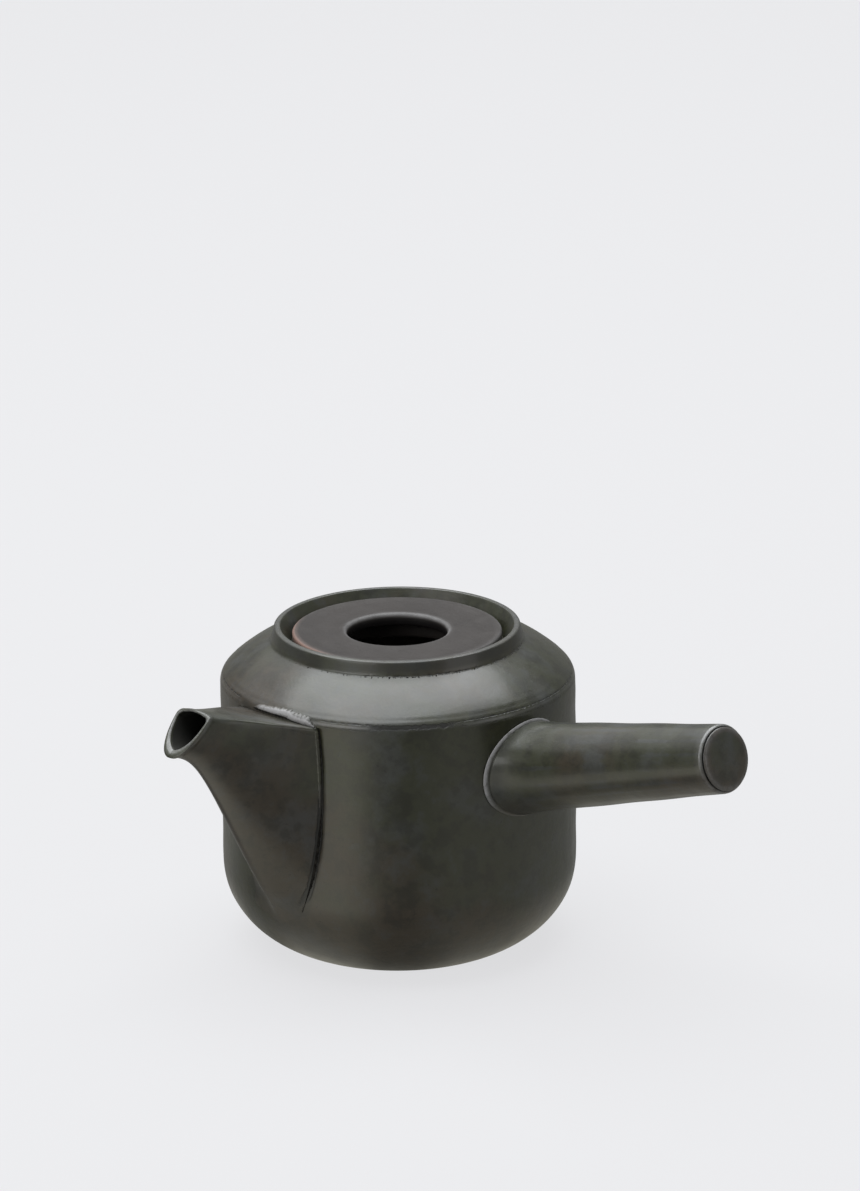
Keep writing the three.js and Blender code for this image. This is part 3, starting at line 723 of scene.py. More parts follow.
def pot_wear(pot, from_spout, radius, height):
    """Pale wear with painted highlights, pooled glaze with painted shade, and darker dry bands with painted
    shade, at each point of the pot's outside.
    """
    shoulder = pot.shoulder_height
    foot = shoulder + pot.shoulder_rise
    crest_inner = pot.collar_radius - pot.crest_inset
    near_front = np.abs(from_spout) < 1
    free = radius > pot.collar_radius + 0.0002
    free = free * fade(np.where(near_front, np.abs(radius * np.sin(from_spout)), 1), 0.0148, 0.0166)
    # The front, towards the camera, where the shoulder's edge gets a dark ribbon of painted shade
    facing = fade(from_spout, 0.50, 0.68) * (1 - fade(from_spout, 0.90, 1.3))
    other, facing = free * (1 - facing), free * facing
    edge_line = bump(height, shoulder - 0.0003, 0.0009)
    # A pale worn line along the collar's crest, also a painted highlight
    wear_and_highlight = 0.22 * bump(radius, crest_inner + 0.0008, 0.0006) * fade(height, POT_HIGH.z - 0.0005, POT_HIGH.z)
    # A pale line just under the shoulder's edge is a painted highlight; the dark lines above and below it,
    # and the ribbon on the front, are painted shade
    wear_and_highlight = wear_and_highlight + 0.12 * bump(height, shoulder - 0.0004, 0.0004) * other
    pool_and_shade = 0.55 * bump(height, shoulder + 0.0004, 0.0004) * other + 0.8 * edge_line * facing
    pool_and_shade = pool_and_shade + 0.45 * bump(height, shoulder - 0.0012, 0.0005) * other
    # Darker in the groove at the collar's foot, most on the front: pooled glaze and painted shade
    groove = 0.5 * bump(height, foot + 0.0002, 0.0006) * bump(radius, pot.collar_radius + 0.0005, 0.0009)
    pool_and_shade = pool_and_shade + groove * (0.3 + 0.7 * fade(from_spout, 0.2, 0.6))
    # A darker, rougher band over the crest's top; the dark ribbon at the shoulder's edge on the front joins
    # it as painted shade
    dry_and_shade = 0.6 * fade(radius, crest_inner, crest_inner + 0.0003)
    dry_and_shade = dry_and_shade + 0.4 * fade(radius, crest_inner + 0.0013, crest_inner + 0.0018)
    dry_and_shade = dry_and_shade * fade(height, foot + 0.0006, foot + 0.0020) * (1 - bump(from_spout, 0.25, 0.28))
    return wear_and_highlight, pool_and_shade, dry_and_shade + 1.2 * edge_line * facing


def make_pot_body(pot, spout, finish):
    """The pot as one turned skin, from its base over wall and collar to its inside, with the spout's port."""
    outline, first_outer, first_inner = pot_rows(pot)
    rows, columns = len(outline), POT_COLUMNS
    from_spout = np.tile(pot_angles() - 1.5 * math.pi, (rows, 1))
    radius = np.repeat(outline[:, :1], columns, 1)
    height = np.repeat(outline[:, 1:], columns, 1)
    block = from_spout[0, columns // 2 + PORT_COLUMNS]
    for first in (first_outer, first_inner):
        near = slice(first - BENT_ROWS_BELOW, first + PORT_ROWS + BENT_ROWS_ABOVE)
        from_spout[near], height[near] = bend_to_port(
            pot, radius[near], from_spout[near], height[near], block)
    radius = radius + pot_unevenness(pot, from_spout, radius, height)
    beside = beside_spout(pot, spout, from_spout, radius, height)
    radius = radius - CREASE_DEPTH * beside * fade(height, 0.025, 0.045)
    angle_there = from_spout + SPOUT_TURN
    grid = np.stack([radius * np.cos(angle_there), radius * np.sin(angle_there), height], -1)
    sides, *poles = capped_faces(rows, columns)
    quads = sides.reshape(rows - 1, columns, 4)
    kept = np.ones((rows - 1, columns), bool)
    for first in (first_outer, first_inner):
        kept[first:first + PORT_ROWS, columns // 2 - PORT_COLUMNS:columns // 2 + PORT_COLUMNS] = False
    outside, inside = port_edge(first_outer, False), port_edge(first_inner, True)
    tunnel = np.stack([outside, np.roll(outside, -1), np.roll(inside, -1), inside], -1)
    wear_and_highlight, pool_and_shade, dry_and_shade = pot_wear(pot, from_spout, radius, height)
    # Darkened along the spout's root: pooled glaze and painted shade in the crease
    values = {
        "wear_and_highlight": wear_and_highlight, "pool_and_shade": np.maximum(pool_and_shade, 0.9 * beside), "dry_and_shade": dry_and_shade,
        "inside": np.arange(rows)[:, None] >= first_inner - PALE_ROWS_ABOVE_PORT,
        "brown": 0.8 * (1 - fade(height, 0.008, 0.030)) * (radius > pot.collar_radius + 0.0002)}
    pot_piece("pot_shell", grid, [quads[kept], tunnel, *poles], finish, "pot_body", values,
              [(0, 0, 0), (0, 0, pot.floor)], {"inside": [0, 1]})


# Plates that follow the pot's wall behind the spout

def plate_middle(pot, strainer):
    """Radius at which the middle of the strainer plate's thickness lies."""
    return pot.body_radius - pot.wall - strainer.wall_gap - strainer.rim_thickness / 2


def plate_edge(half_width, bottom, top, radius, closed):
    """A round-cornered upright outline, from its upper left corner down and round."""
    corners = [(-half_width, top), (-half_width, bottom), (half_width, bottom), (half_width, top)]
    arcs = [rounded(corners[i - 1], corners[i], corners[(i + 1) % 4], radius) for i in (1, 2, 3, 0)]
    if closed:
        return spaced(np.concatenate([*arcs, arcs[0][:1]]), 0.002)[:-1]
    return spaced(np.concatenate([corners[:1], *arcs[:2], corners[3:]]), 0.002)


def outward(path, closed):
    """Unit normals of a path in x and z, on the side away from its middle."""
    ahead = np.roll(path, -1, 0) - np.roll(path, 1, 0) if closed else np.gradient(path, axis=0)
    ahead = ahead / np.linalg.norm(ahead, axis=1, keepdims=True)
    return np.stack([ahead[:, 1], -ahead[:, 0]], -1)


def on_wall(across, radius, height):
    """Points at a radius from the pot's axis, on the spout's side of it."""
    return np.stack([across, -np.sqrt(radius**2 - across**2), height], -1)


def swept_plate_edge(path, closed, section):
    """A section of (outwards, radius) points carried along a path that follows the wall."""
    place = path[:, None] + outward(path, closed)[:, None] * section[None, :, :1]
    return on_wall(place[..., 0], np.broadcast_to(section[:, 1], place.shape[:2]), place[..., 1])


def make_pocket(pot, strainer, finish):
    """The clay pocket: an L section carried down one side of the plate, under it and up the other."""
    clear = 0.0003
    in_wall = pot.body_radius - pot.wall + 0.0006
    slot = plate_middle(pot, strainer) - strainer.rim_thickness / 2 - clear
    front = slot - strainer.pocket_wall
    lip, side = -strainer.pocket_lip, clear + strainer.pocket_wall
    section = round_loop([(clear, in_wall), (clear, slot), (lip, slot), (lip, front), (side, front),
                          (side, in_wall)], 0.0004, 4)
    path = plate_edge(strainer.width / 2, RIM_LOW.z, strainer.pocket_top, strainer.corner, False)
    grid = swept_plate_edge(path, False, section)
    faces = capped_faces(*grid.shape[:2], flipped=True)
    pot_piece("strainer_pocket", grid, faces, finish, ends=grid[[0, -1]].mean(1))


def make_strainer(pot, strainer, finish):
    """The strainer's folded rim as a swept round-cornered section, and its woven wires inside it."""
    steel = shared_material(drawn_steel, finish)
    middle = plate_middle(pot, strainer)
    half, thick = strainer.rim_width / 2, strainer.rim_thickness / 2
    inner, outer = middle - thick, middle + thick
    section = round_loop([(-half, inner), (half, inner), (half, outer), (-half, outer)], 0.0006, 5)
    path = plate_edge(strainer.width / 2 - half, RIM_LOW.z + half, RIM_HIGH.z - half,
                      strainer.corner - half, True)
    grid = swept_plate_edge(path, True, section)
    faces = [ring_faces(*grid.shape[:2], joined=True)[:, ::-1]]
    new_piece("strainer_rim", grid, faces, steel, "strainer", "strainer_frame")
    make_wires(strainer, steel, middle)


def wire_tubes(across, height, lift, radius, middle, sides=5):
    """Tubes round wires given as places that spread to one row for each wire.

    Each point gets a small ring across the wire's course; the lift moves it in or out of the plate.
    """
    across, height = np.broadcast_arrays(across, height)
    centre = on_wall(across, middle + lift, height)
    course = np.gradient(centre, axis=1)
    course /= np.linalg.norm(course, axis=2, keepdims=True)
    out = centre * (1, 1, 0)
    out /= np.linalg.norm(out, axis=2, keepdims=True)
    beside = np.cross(course, out)
    turn = 2 * math.pi * np.arange(sides) / sides
    ring = np.cos(turn)[:, None] * out[:, :, None] + np.sin(turn)[:, None] * beside[:, :, None]
    return centre[:, :, None] + radius * ring


def make_wires(strainer, steel, middle):
    """Plain weave: each wire rises over one crossing wire and dips under the next, as a sine does."""
    inset = strainer.rim_width - 0.0008
    half, low, high = strainer.width / 2 - inset, RIM_LOW.z + inset, RIM_HIGH.z - inset
    pitch, radius = strainer.wire_pitch, strainer.wire_radius
    columns = np.arange(-math.floor(half / pitch), math.floor(half / pitch) + 1) * pitch
    rows = np.arange(math.floor((high - low) / pitch) + 1) * pitch + low + (high - low) % pitch / 2
    run_up = np.linspace(low, high, 2 * len(rows) + 1)[None, :]
    run_across = np.linspace(-half, half, 2 * len(columns) + 1)[None, :]

    def lift(count, run, start):
        phase = np.arange(count)[:, None] * math.pi + math.pi * (run - start) / pitch
        return 1.02 * radius * np.cos(phase)

    warp = wire_tubes(columns[:, None], run_up, lift(len(columns), run_up, rows[0]), radius, middle)
    weft = wire_tubes(run_across, rows[:, None], -lift(len(rows), run_across, columns[0]), radius, middle)
    points, faces, first = [], [], 0
    for tubes in (warp, weft):
        wires, steps, sides = tubes.shape[:3]
        start = first + np.arange(wires)[:, None] * steps * sides
        skin = ring_faces(steps, sides)[None] + start[..., None]
        ends = start + np.arange(sides)
        faces += [skin.reshape(-1, 4), ends[:, ::-1], ends + (steps - 1) * sides]
        points.append(tubes.reshape(-1, 3))
        first += wires * steps * sides
    new_piece("strainer_weave", np.concatenate(points), faces, steel, "strainer",
              "strainer_mesh")


# Spout

def keel_point(spout, t):
    """The keel: a cubic curve from its foot on the wall to the lip's tip, with both handles at its bend."""
    foot = np.array([spout.keel_foot_reach, spout.keel_foot_height])
    bend = np.array([spout.keel_bend_reach, spout.keel_bend_height])
    tip = np.array([spout.lip_tip_reach, spout.lip_tip_height])
    t = np.asarray(t)[..., None]
    return (1 - t) ** 3 * foot + 3 * t * (1 - t) * bend + t**3 * tip


def root_half_width(spout, height):
    """Half width of the spout's root on the wall: an upright ellipse."""
    up = (height - spout.root_middle) / (spout.root_height / 2)
    return spout.root_width / 2 * np.sqrt(np.clip(1 - up**2, 1e-6, 1))


def fold_half_width(pot, spout, reach, height):
    """Half width of the folded spout: none on the keel, the root's ellipse at the wall, a blunt V between."""
    keel = keel_point(spout, np.linspace(0, 1, 200))
    width = root_half_width(spout, height)
    last = keel[-1] - keel[-2]
    out = np.interp(height, keel[:, 1], keel[:, 0])
    out = out + np.maximum(height - keel[-1, 1], 0) * last[0] / last[1]
    wall = np.sqrt(np.maximum(outer_radius(pot, height) ** 2 - width**2, 0))
    inwards = np.clip((out - reach) / np.maximum(out - wall, 0.001), 0, None)

    def blunt(y):
        return np.sqrt(y * y + 2 * spout.keel_softness * y)

    return width * blunt(width * inwards) / blunt(width)


def spout_surface(pot, spout, along, drop, inset):
    """Points of the spout's right side in (across, reach, height).

    along runs from 0 at the root to 1 at the lip, drop from 0 on the flat top to 1 on the keel, and inset
    moves the surface in by that much. Between root and lip the folded section turns into the mouth's outline.
    """
    slope = (spout.lip_top_height - spout.top_height) / (spout.lip_top_reach - pot.body_radius)
    root_reach = pot.body_radius - pot.wall - 0.001
    root = np.array([root_reach, spout.top_height - slope * (pot.body_radius - root_reach)])
    lip = np.array([spout.lip_top_reach, spout.lip_top_height])
    top = root + (lip - root) * along[..., None]
    bottom = keel_point(spout, along)
    down = bottom - top
    span = np.linalg.norm(down, axis=-1)
    spot = top + down * drop[..., None]
    folded = fold_half_width(pot, spout, spot[..., 0], spot[..., 1])
    mouth = spout.lip_width / 2 * np.sqrt(np.clip(1 - drop**spout.lip_fullness, 0, 1))
    half = folded + (mouth - folded) * fade(along, spout.folded_share, 1)
    round_corner = spout.top_rounding + (spout.mouth_rounding - spout.top_rounding) * fade(along, 0.6, 1)
    cut = np.maximum(round_corner - drop * span, 0)
    half = half - (round_corner - np.sqrt(np.maximum(round_corner**2 - cut**2, 0)))
    inset = inset * (0.8 + 0.65 * drop)
    squeezed = np.maximum(half - inset, 0) * (drop < 1)
    lowered = (inset + drop * (span - 2.4 * inset)) / span
    moved = top + down * lowered[..., None]
    return np.stack([squeezed, moved[..., 0], moved[..., 1]], -1)


def spout_ring(pot, spout, along, inset, drops, tops):
    """A closed ring round the spout for each row: down the right side, up the left side and over the top.

    The flat top is a little arched: it rises by a parabola across its width, most at the mouth.
    """
    there, drop = np.meshgrid(along, drops, indexing="ij")
    right = spout_surface(pot, spout, there, drop, inset[:, None])
    left = right[:, -2::-1] * (-1, 1, 1)
    corner, opposite = right[:, :1], left[:, -1:]
    over = opposite + (corner - opposite) * tops[None, :, None]
    over[..., 2] += 0.0006 * fade(along, 0.5, 1)[:, None] * (4 * tops * (1 - tops))[None, :]
    ring = np.concatenate([right, left, over], 1)
    return np.stack([ring[..., 0], -ring[..., 1], ring[..., 2]], -1)


def root_start(pot, spout, inset, lift, drops, tops):
    """For each column of the ring, the way along the spout where it rises past a height above the wall."""
    trial = np.linspace(0, 0.7, 141)
    rings = spout_ring(pot, spout, trial, np.full_like(trial, inset), drops, tops)
    away = np.hypot(rings[..., 0], rings[..., 1]) - (outer_radius(pot, rings[..., 2]) + lift)
    after = np.maximum(np.argmax(away > 0, axis=0), 1)
    column = np.arange(away.shape[1])
    before_away, after_away = away[after - 1, column], away[after, column]
    part = np.clip(-before_away / np.maximum(after_away - before_away, 1e-9), 0, 1)
    return trial[after - 1] + part * (trial[1] - trial[0])


def spout_rows(pot, spout, inset, lifts, count, drops, tops):
    """Rings from inside the pot's wall to the lip: first at the given heights above the wall, then evenly.

    inset is a function of the way along, and each column has its own start on the curved wall.
    """
    starts = np.array([root_start(pot, spout, inset(0.0), lift, drops, tops) for lift in lifts])
    onward = np.linspace(0, 1, count + 1)[1:, None]
    places = np.concatenate([starts, starts[-1] + (1 - starts[-1]) * onward])
    column = np.arange(places.shape[1])
    return np.stack([
        spout_ring(pot, spout, along, inset(along), drops, tops)[column, column] for along in places])


def settle_on_wall(pot, grid):
    """Lets the spout's lower end run out smoothly on the wall.

    A point's height a above the wall becomes a * a / (a + k); k falls from 3 mm at the foot to nothing a
    little higher, so that only the lower end leaves the wall in a hollow curve, higher up on the left side.
    """
    left = fade(-grid[..., 0], 0, 0.004)
    flat = np.hypot(grid[..., 0], grid[..., 1])
    wall = outer_radius(pot, grid[..., 2])
    away = np.maximum(flat - wall, 0)
    hollow = (0.003 + 0.005 * left) * (1 - fade(grid[..., 2], 0.013 + 0.017 * left, 0.030 + 0.030 * left))
    settled = np.where(flat > wall, wall + away * away / (away + hollow + 1e-9), flat)
    scale = settled / flat
    return grid * np.stack([scale, scale, np.ones_like(scale)], -1)


def make_spout(pot, spout, finish):
    """The spout as one skin: from the wall out to the lip, round the thin lip, and back down its channel."""
    side = np.linspace(0, 1, 34)
    drops = np.unique(np.concatenate([0.05 * np.linspace(0, 1, 9), np.sin(side * math.pi / 2)]))
    tops = np.linspace(0, 1, 16)[1:-1]
    near = (-0.0017, -0.0004, 0.0, 0.00015, 0.0003, 0.00045, 0.0006, 0.0008, 0.001, 0.0013, 0.0017, 0.0022)

    def rolled(along):
        return -spout.rolled_lip * fade(along, 0.945, 0.985)

    def walled(along):
        return spout.root_wall + (spout.lip_wall - spout.rolled_lip - spout.root_wall) * along

    outside = settle_on_wall(pot, spout_rows(pot, spout, rolled, near, 56, drops, tops))
    inside = spout_rows(pot, spout, walled, (-0.0017,), 44, drops, tops)[::-1]
    lip_turn = np.linspace(0, math.pi, 11)[1:-1]
    insets = -spout.rolled_lip + spout.lip_wall / 2 * (1 - np.cos(lip_turn))
    ahead = outside[-1] - outside[-2]
    ahead = ahead.mean(0) / np.linalg.norm(ahead.mean(0))
    lip = spout_ring(pot, spout, np.ones_like(insets), insets, drops, tops)
    lip = lip + (spout.lip_wall / 2 * np.sin(lip_turn))[:, None, None] * ahead
    grid = np.concatenate([outside, lip, inside])
    lip_start, lip_end = len(outside), len(outside) + len(lip)
    row = np.arange(len(grid))[:, None]
    height = grid[..., 2]
    wear_and_highlight = np.zeros(row.shape)
    wear_and_highlight[lip_start + 5:lip_end] = 0.42
    wear_and_highlight[lip_start - 2:lip_start + 1] = 0.12
    # Darker where the spout meets the wall: pooled glaze and painted shade
    away = np.hypot(grid[..., 0], grid[..., 1]) - outer_radius(pot, height)
    pool_and_shade = (1 - fade(away, 0.0002, 0.0012)) * (row < lip_start) * fade(height, 0.020, 0.029)
    pool_and_shade = pool_and_shade * np.maximum(grid[..., 0] > 0, fade(height, 0.048, 0.060))
    depth = np.concatenate([drops, drops[-2::-1], np.zeros(len(tops))])
    # A dark line just under the flat top's edge: painted shadow
    shadow_under_top = 0.42 * bump(depth, 0.045, 0.02) * fade(0.9 - row / lip_start, 0, 0.5) * (row < lip_start)
    on_keel = 0.9 * bump(depth, 0.86, 0.3) * (row < lip_start)
    # The channel inside is darker and rougher: painted shade
    values = {"wear_and_highlight": wear_and_highlight, "pool_and_shade": np.maximum(pool_and_shade, shadow_under_top), "inside": 0.15 * (row > lip_end + 26),
              "dry_and_shade": 1.8 * (row > lip_end), "brown": on_keel + 0.5 * bump(row / lip_start, 0.8, 0.12)}
    faces = [ring_faces(*grid.shape[:2], joined=True)[:, ::-1]]
    pot_piece("spout_shell", grid, faces, finish, "spout", values)


def at_turn(pot, turn, height):
    """Points on the pot's outside at a turn from the spout, positive to its right."""
    radius = outer_radius(pot, height)
    return np.stack([radius * np.sin(turn), -radius * np.cos(turn), height], -1)


def clay_roll(name, pot, turn, height, lift, wide, thick, material, wear_and_highlight=0, rows=slice(None)):
    """A flattened roll of clay along a path on the wall: an ellipse, wide along the wall and thick outwards.

    The pale wear, on the spout's top joint a painted highlight, is largest on the roll's lower middle and
    runs out towards its upper edge; rows picks a stretch.
    """
    turn, height, lift, wide, thick, wear_and_highlight = (
        np.broadcast_to(value, turn.shape)[rows] for value in (turn, height, lift, wide, thick, wear_and_highlight))
    foot, above = at_turn(pot, turn, height), at_turn(pot, turn, height + 0.0002)
    course, rise = np.gradient(foot, axis=0), above - foot
    out = np.cross(np.cross(rise, foot * (1, 1, 0)), rise)
    course, out = (v / np.linalg.norm(v, axis=1, keepdims=True) for v in (course, out))
    beside = np.cross(out, course)
    beside /= np.linalg.norm(beside, axis=1, keepdims=True)
    around = 2 * math.pi * np.arange(ROLL_SIDES) / ROLL_SIDES
    spokes = (wide[:, None] * np.cos(around))[..., None] * beside[:, None]
    spokes = spokes + (thick[:, None] * np.sin(around))[..., None] * out[:, None]
    grid = (foot + lift[:, None] * out)[:, None] + spokes
    share_up = np.sign(beside[:, 2:] + 1e-9) * np.cos(around)
    worn = wear_and_highlight[:, None] * (1 - fade(share_up, -0.1, 0.9))
    new_piece(name, grid, capped_faces(*grid.shape[:2]), material, "pot",
              values={"wear_and_highlight": worn}, ends=grid[[0, -1]].mean(1))


def ragged(way, seed):
    """A share near 1 that wavers along a path, from sines with unrelated periods."""
    return (1 + 0.14 * np.sin(2300 * way + seed) + 0.12 * np.sin(4700 * way + 2 * seed)
            + 0.10 * np.sin(8900 * way + 3 * seed))


def make_luting(pot, spout, finish):
    """The clay pressed into the spout's joints: a smear over its top and a roll down each side, with
    near-black matt tubes in the joints and dashes in the collar's groove as painted shade.
    """
    glaze, crease_shade = shared_material(charcoal_glaze, finish), shared_material(crease_shade_material, finish)

    hairline = 0.00002

    def turned(across, height):
        return np.arcsin(across / outer_radius(pot, height))

    left, right = -0.0095, 0.0146
    across = np.linspace(left, right, 120)
    low = 0.0817 - 0.0006 * fade(across, 0.004, 0.008) - 0.0007 * fade(across, 0.008, 0.0144)
    wide = 0.0008 + 0.0006 * fade(across, -0.009, 0.008)
    wide = wide * (0.1 + 0.9 * fade(across, left, -0.006)) * (1 - 0.8 * fade(across, 0.0120, right))
    wide = wide * (0.75 + 0.25 * ragged(across, 1))
    height = low + 0.85 * wide
    # Its pale wear, along all but its left end, is a painted highlight on the ridge at the spout's top
    clay_roll("spout_top_luting", pot, turned(across, height), height, -0.00005, wide,
              0.0007 * (wide / 0.0013) ** 0.8, glaze, 1.5 * fade(across, left, -0.004))
    left, right = -0.0092, 0.0085
    across = np.linspace(left, right, 140)
    height = 0.08158 - 0.0005 * fade(across, 0.004, 0.009)
    gape = 0.00030 * fade(across, left, -0.0075) * (1 - 0.8 * fade(across, 0.0045, right))
    gape = gape * ragged(across, 2) * ragged(across, 5) + hairline
    # A near-black tube in the joint under the spout's top: painted shade
    clay_roll("spout_top_crease_shade", pot, turned(across, height), height, 0.0, gape, 0.00035, crease_shade)
    top, bottom = 0.0804, 0.0225
    height = np.linspace(top, bottom, 200)
    edge = root_half_width(spout, height)
    low = 1 - fade(height, 0.046, 0.058)
    thick = 0.00030 + 0.00050 * fade(height, 0.050, 0.072)
    thick = thick * (1 - 0.6 * fade(height, 0.0790, top)) * fade(height, 0.036, 0.056)
    thick = (thick + hairline) * (0.6 + 0.4 * ragged(height, 3))
    gape = (0.00012 + 0.00050 * low) * fade(height, bottom, 0.036)
    gape = gape * ragged(height, 4) * ragged(height, 6) + hairline
    lift = -0.00025 + 0.0002 * low - 0.00005 * (1 - fade(height, 0.026, 0.040))
    for name, sign, rows in (("right", 1, slice(0, 200)), ("left", -1, slice(12, 104))):
        ending = 1 if sign > 0 else fade(height, 0.0500, 0.0640)
        size = thick * ending + 0.00001
        clay_roll(f"spout_{name}_luting", pot, sign * turned(edge - 0.0007, height), height, 0.0001,
                  size, size, glaze, 0.06, rows)
        # A near-black tube in the crease beside the spout: painted shade
        clay_roll(f"spout_{name}_crack", pot, sign * turned(edge - 0.0004 * low, height), height, lift,
                  gape * ending + 0.00001, 0.0003 + 0.0001 * low, crease_shade, 0, rows)
    # Near-black dashes in the groove at the collar's foot, most on the front: painted shade, partly pits
    turn = np.linspace(-math.pi, math.pi, 900)
    strength = ragged(turn * 0.059, 7) * ragged(turn * 0.097, 8) - 0.9 - 1.1 * (1 - np.cos(turn - 0.75)) / 2
    gape = np.clip(strength, 0.02, 0.8) * 0.0008
    clay_roll("collar_pits_and_shade", pot, turn, pot.shoulder_height + pot.shoulder_rise - 0.0002,
              0.0001 - 0.0006 * (1 - fade(strength, 0.05, 0.12)), gape, 0.00008 + 0.3 * gape, crease_shade)


# Handle

def handle_axes(handle):
    """The handle's direction, its upward side and its foot on the wall's surface line."""
    ahead = np.array([math.cos(handle.tilt), 0, math.sin(handle.tilt)])
    upward = np.array([-math.sin(handle.tilt), 0, math.cos(handle.tilt)])
    foot = np.array([POT_HIGH.x, 0, handle.height])
    return ahead, upward, foot


def handle_radius(handle, distance):
    """Radius of the handle's cone at a distance along its axis."""
    return handle.root_radius + (handle.tip_radius - handle.root_radius) * distance / handle.reach


def bead_share(turn):
    """How strongly the bead stands out at a turn about the handle: fully on top, almost gone underneath."""
    return 0.2 + 0.8 * fade(np.cos(turn), -0.85, -0.35)


def root_spread(handle, turn, lift):
    """How far the root spreads past the cone at a height above the wall: a long flare, a thin bead on it."""
    near = np.clip(1 - lift / handle.flare_length, 0, 1.3)
    amount = handle.flare_up + (handle.flare_side - handle.flare_up) * np.sin(turn) ** 2
    width = handle.bead_width
    bead = handle.bead * bump(lift, handle.bead_place, width) * bead_share(turn)
    valley = 0.5 * handle.bead * bump(lift, handle.bead_place + 2.1 * width, 0.9 * width)
    return amount * near**2 + bead - valley


def handle_root_rings(pot, handle, turn, lifts):
    """Distance along the axis and radius where the handle's skin lies at each height above the wall.

    The wall is a cylinder, so the distance is the root of a square for a known radius; the radius depends a
    little on the distance, and three rounds settle both.
    """
    turn, lift = turn[None, :], lifts[:, None]
    radius = handle.root_radius + root_spread(handle, turn, lift)
    for _ in range(3):
        across = radius * np.sin(turn)
        out = np.sqrt((pot.body_radius + lift) ** 2 - across**2) - pot.body_radius
        distance = (out + math.sin(handle.tilt) * np.cos(turn) * radius) / math.cos(handle.tilt)
        radius = handle_radius(handle, distance) + root_spread(handle, turn, lift)
    return distance, radius


def around_handle(handle, turn, distance, radius):
    """Points at a turn, distance and radius about the handle's axis; turn 0 is its upper side."""
    ahead, upward, foot = handle_axes(handle)
    sideways = np.array([0.0, 1.0, 0.0])
    spoke = np.cos(turn)[..., None] * upward + np.sin(turn)[..., None] * sideways
    return foot + distance[..., None] * ahead + radius[..., None] * spoke


def make_handle(pot, handle, finish):
    """The handle as one skin: flared root, cone, the clay's round edge at the tip, and its hollow."""
    clay_end = handle.reach - handle.disc_thickness - handle.disc_gap
    cone_end = clay_end - handle.tip_rounding
    corner = (handle_radius(handle, clay_end), clay_end)
    hollow_root = (handle.root_radius - handle.wall, -0.001)
    tip = rounded((handle_radius(handle, cone_end), cone_end), corner, (0, clay_end), handle.tip_rounding, 8)
    rim = rounded(corner, (handle.tip_radius - handle.wall, clay_end), hollow_root, 0.0004, 4)
    bore = spaced([rim[-1], hollow_root], 0.004)
    turn, radius_end, distance_end = turned_grid(np.concatenate([tip, rim, bore[1:]]), HANDLE_COLUMNS)
    lifts = np.concatenate([[-0.0018, -0.0009], np.linspace(0, 0.0026, 23), np.linspace(0.0031, 0.0125, 14)])
    distance, radius = handle_root_rings(pot, handle, turn, lifts)
    onward = np.linspace(0, 1, 33)[1:, None]
    distance_on = distance[-1] + (cone_end - distance[-1]) * onward
    radius = np.concatenate([radius, handle_radius(handle, distance_on), radius_end])
    distance = np.concatenate([distance, distance_on, distance_end])
    on_cone = fade(distance, 0.004, 0.012)
    uneven = 0.00006 * (np.sin(3 * turn + 1) + np.sin(260 * distance)) * on_cone
    grid = around_handle(handle, turn, distance, radius + uneven)
    outer = np.arange(len(grid))[:, None] < len(lifts) + len(onward) + len(tip)
    lift = np.hypot(grid[..., 0], grid[..., 1]) - pot.body_radius
    upper = fade(np.cos(turn), -0.75, 0.1)
    place, width = handle.bead_place, handle.bead_width
    # A pale line on the bead, strongest on top: painted highlight and worn glaze
    bead_highlight_and_wear = 1.5 * bump(lift, place + 0.0001, 0.8 * width) * (0.1 + 0.9 * upper)
    # A pale band on the clay's round edge at the tip, stronger on top: painted highlight and wear
    tip_highlight_and_wear = 0.55 * bump(distance, clay_end - 0.0005, 0.0005) * (0.5 + 0.5 * fade(np.cos(turn), -0.3, 0.6))
    # Darker in the valley inside the bead and in the groove by the disc: pooled glaze and painted shade
    pool_and_shade = 0.55 * bump(lift, place + 2.2 * width, 0.9 * width) * outer
    seam_shade = 0.7 * bump(distance, clay_end, 0.0002) * outer * (radius < handle.disc_radius + 0.0002)
    slow = 1 + 0.5 * np.sin(70 * distance + 4 * turn)
    streak = slow * (np.sin(9 * turn + 1) + np.sin(17 * turn + 40 * distance) + np.sin(31 * turn))
    values = {"wear_and_highlight": (bead_highlight_and_wear + tip_highlight_and_wear) * outer, "pool_and_shade": np.maximum(pool_and_shade, seam_shade),
              # A darker, rougher band on the flare beside the wall: painted shade near the joint
              "dry_and_shade": 0.8 * bump(lift, place + 0.0024, 0.0020) * outer,
              "streak": 0.6 * streak * on_cone, "brown": 0.9 * (1 - upper)}
    faces = [ring_faces(*grid.shape[:2], joined=True)[:, ::-1]]
    pot_piece("handle_shell", grid, faces, finish, "handle", values)


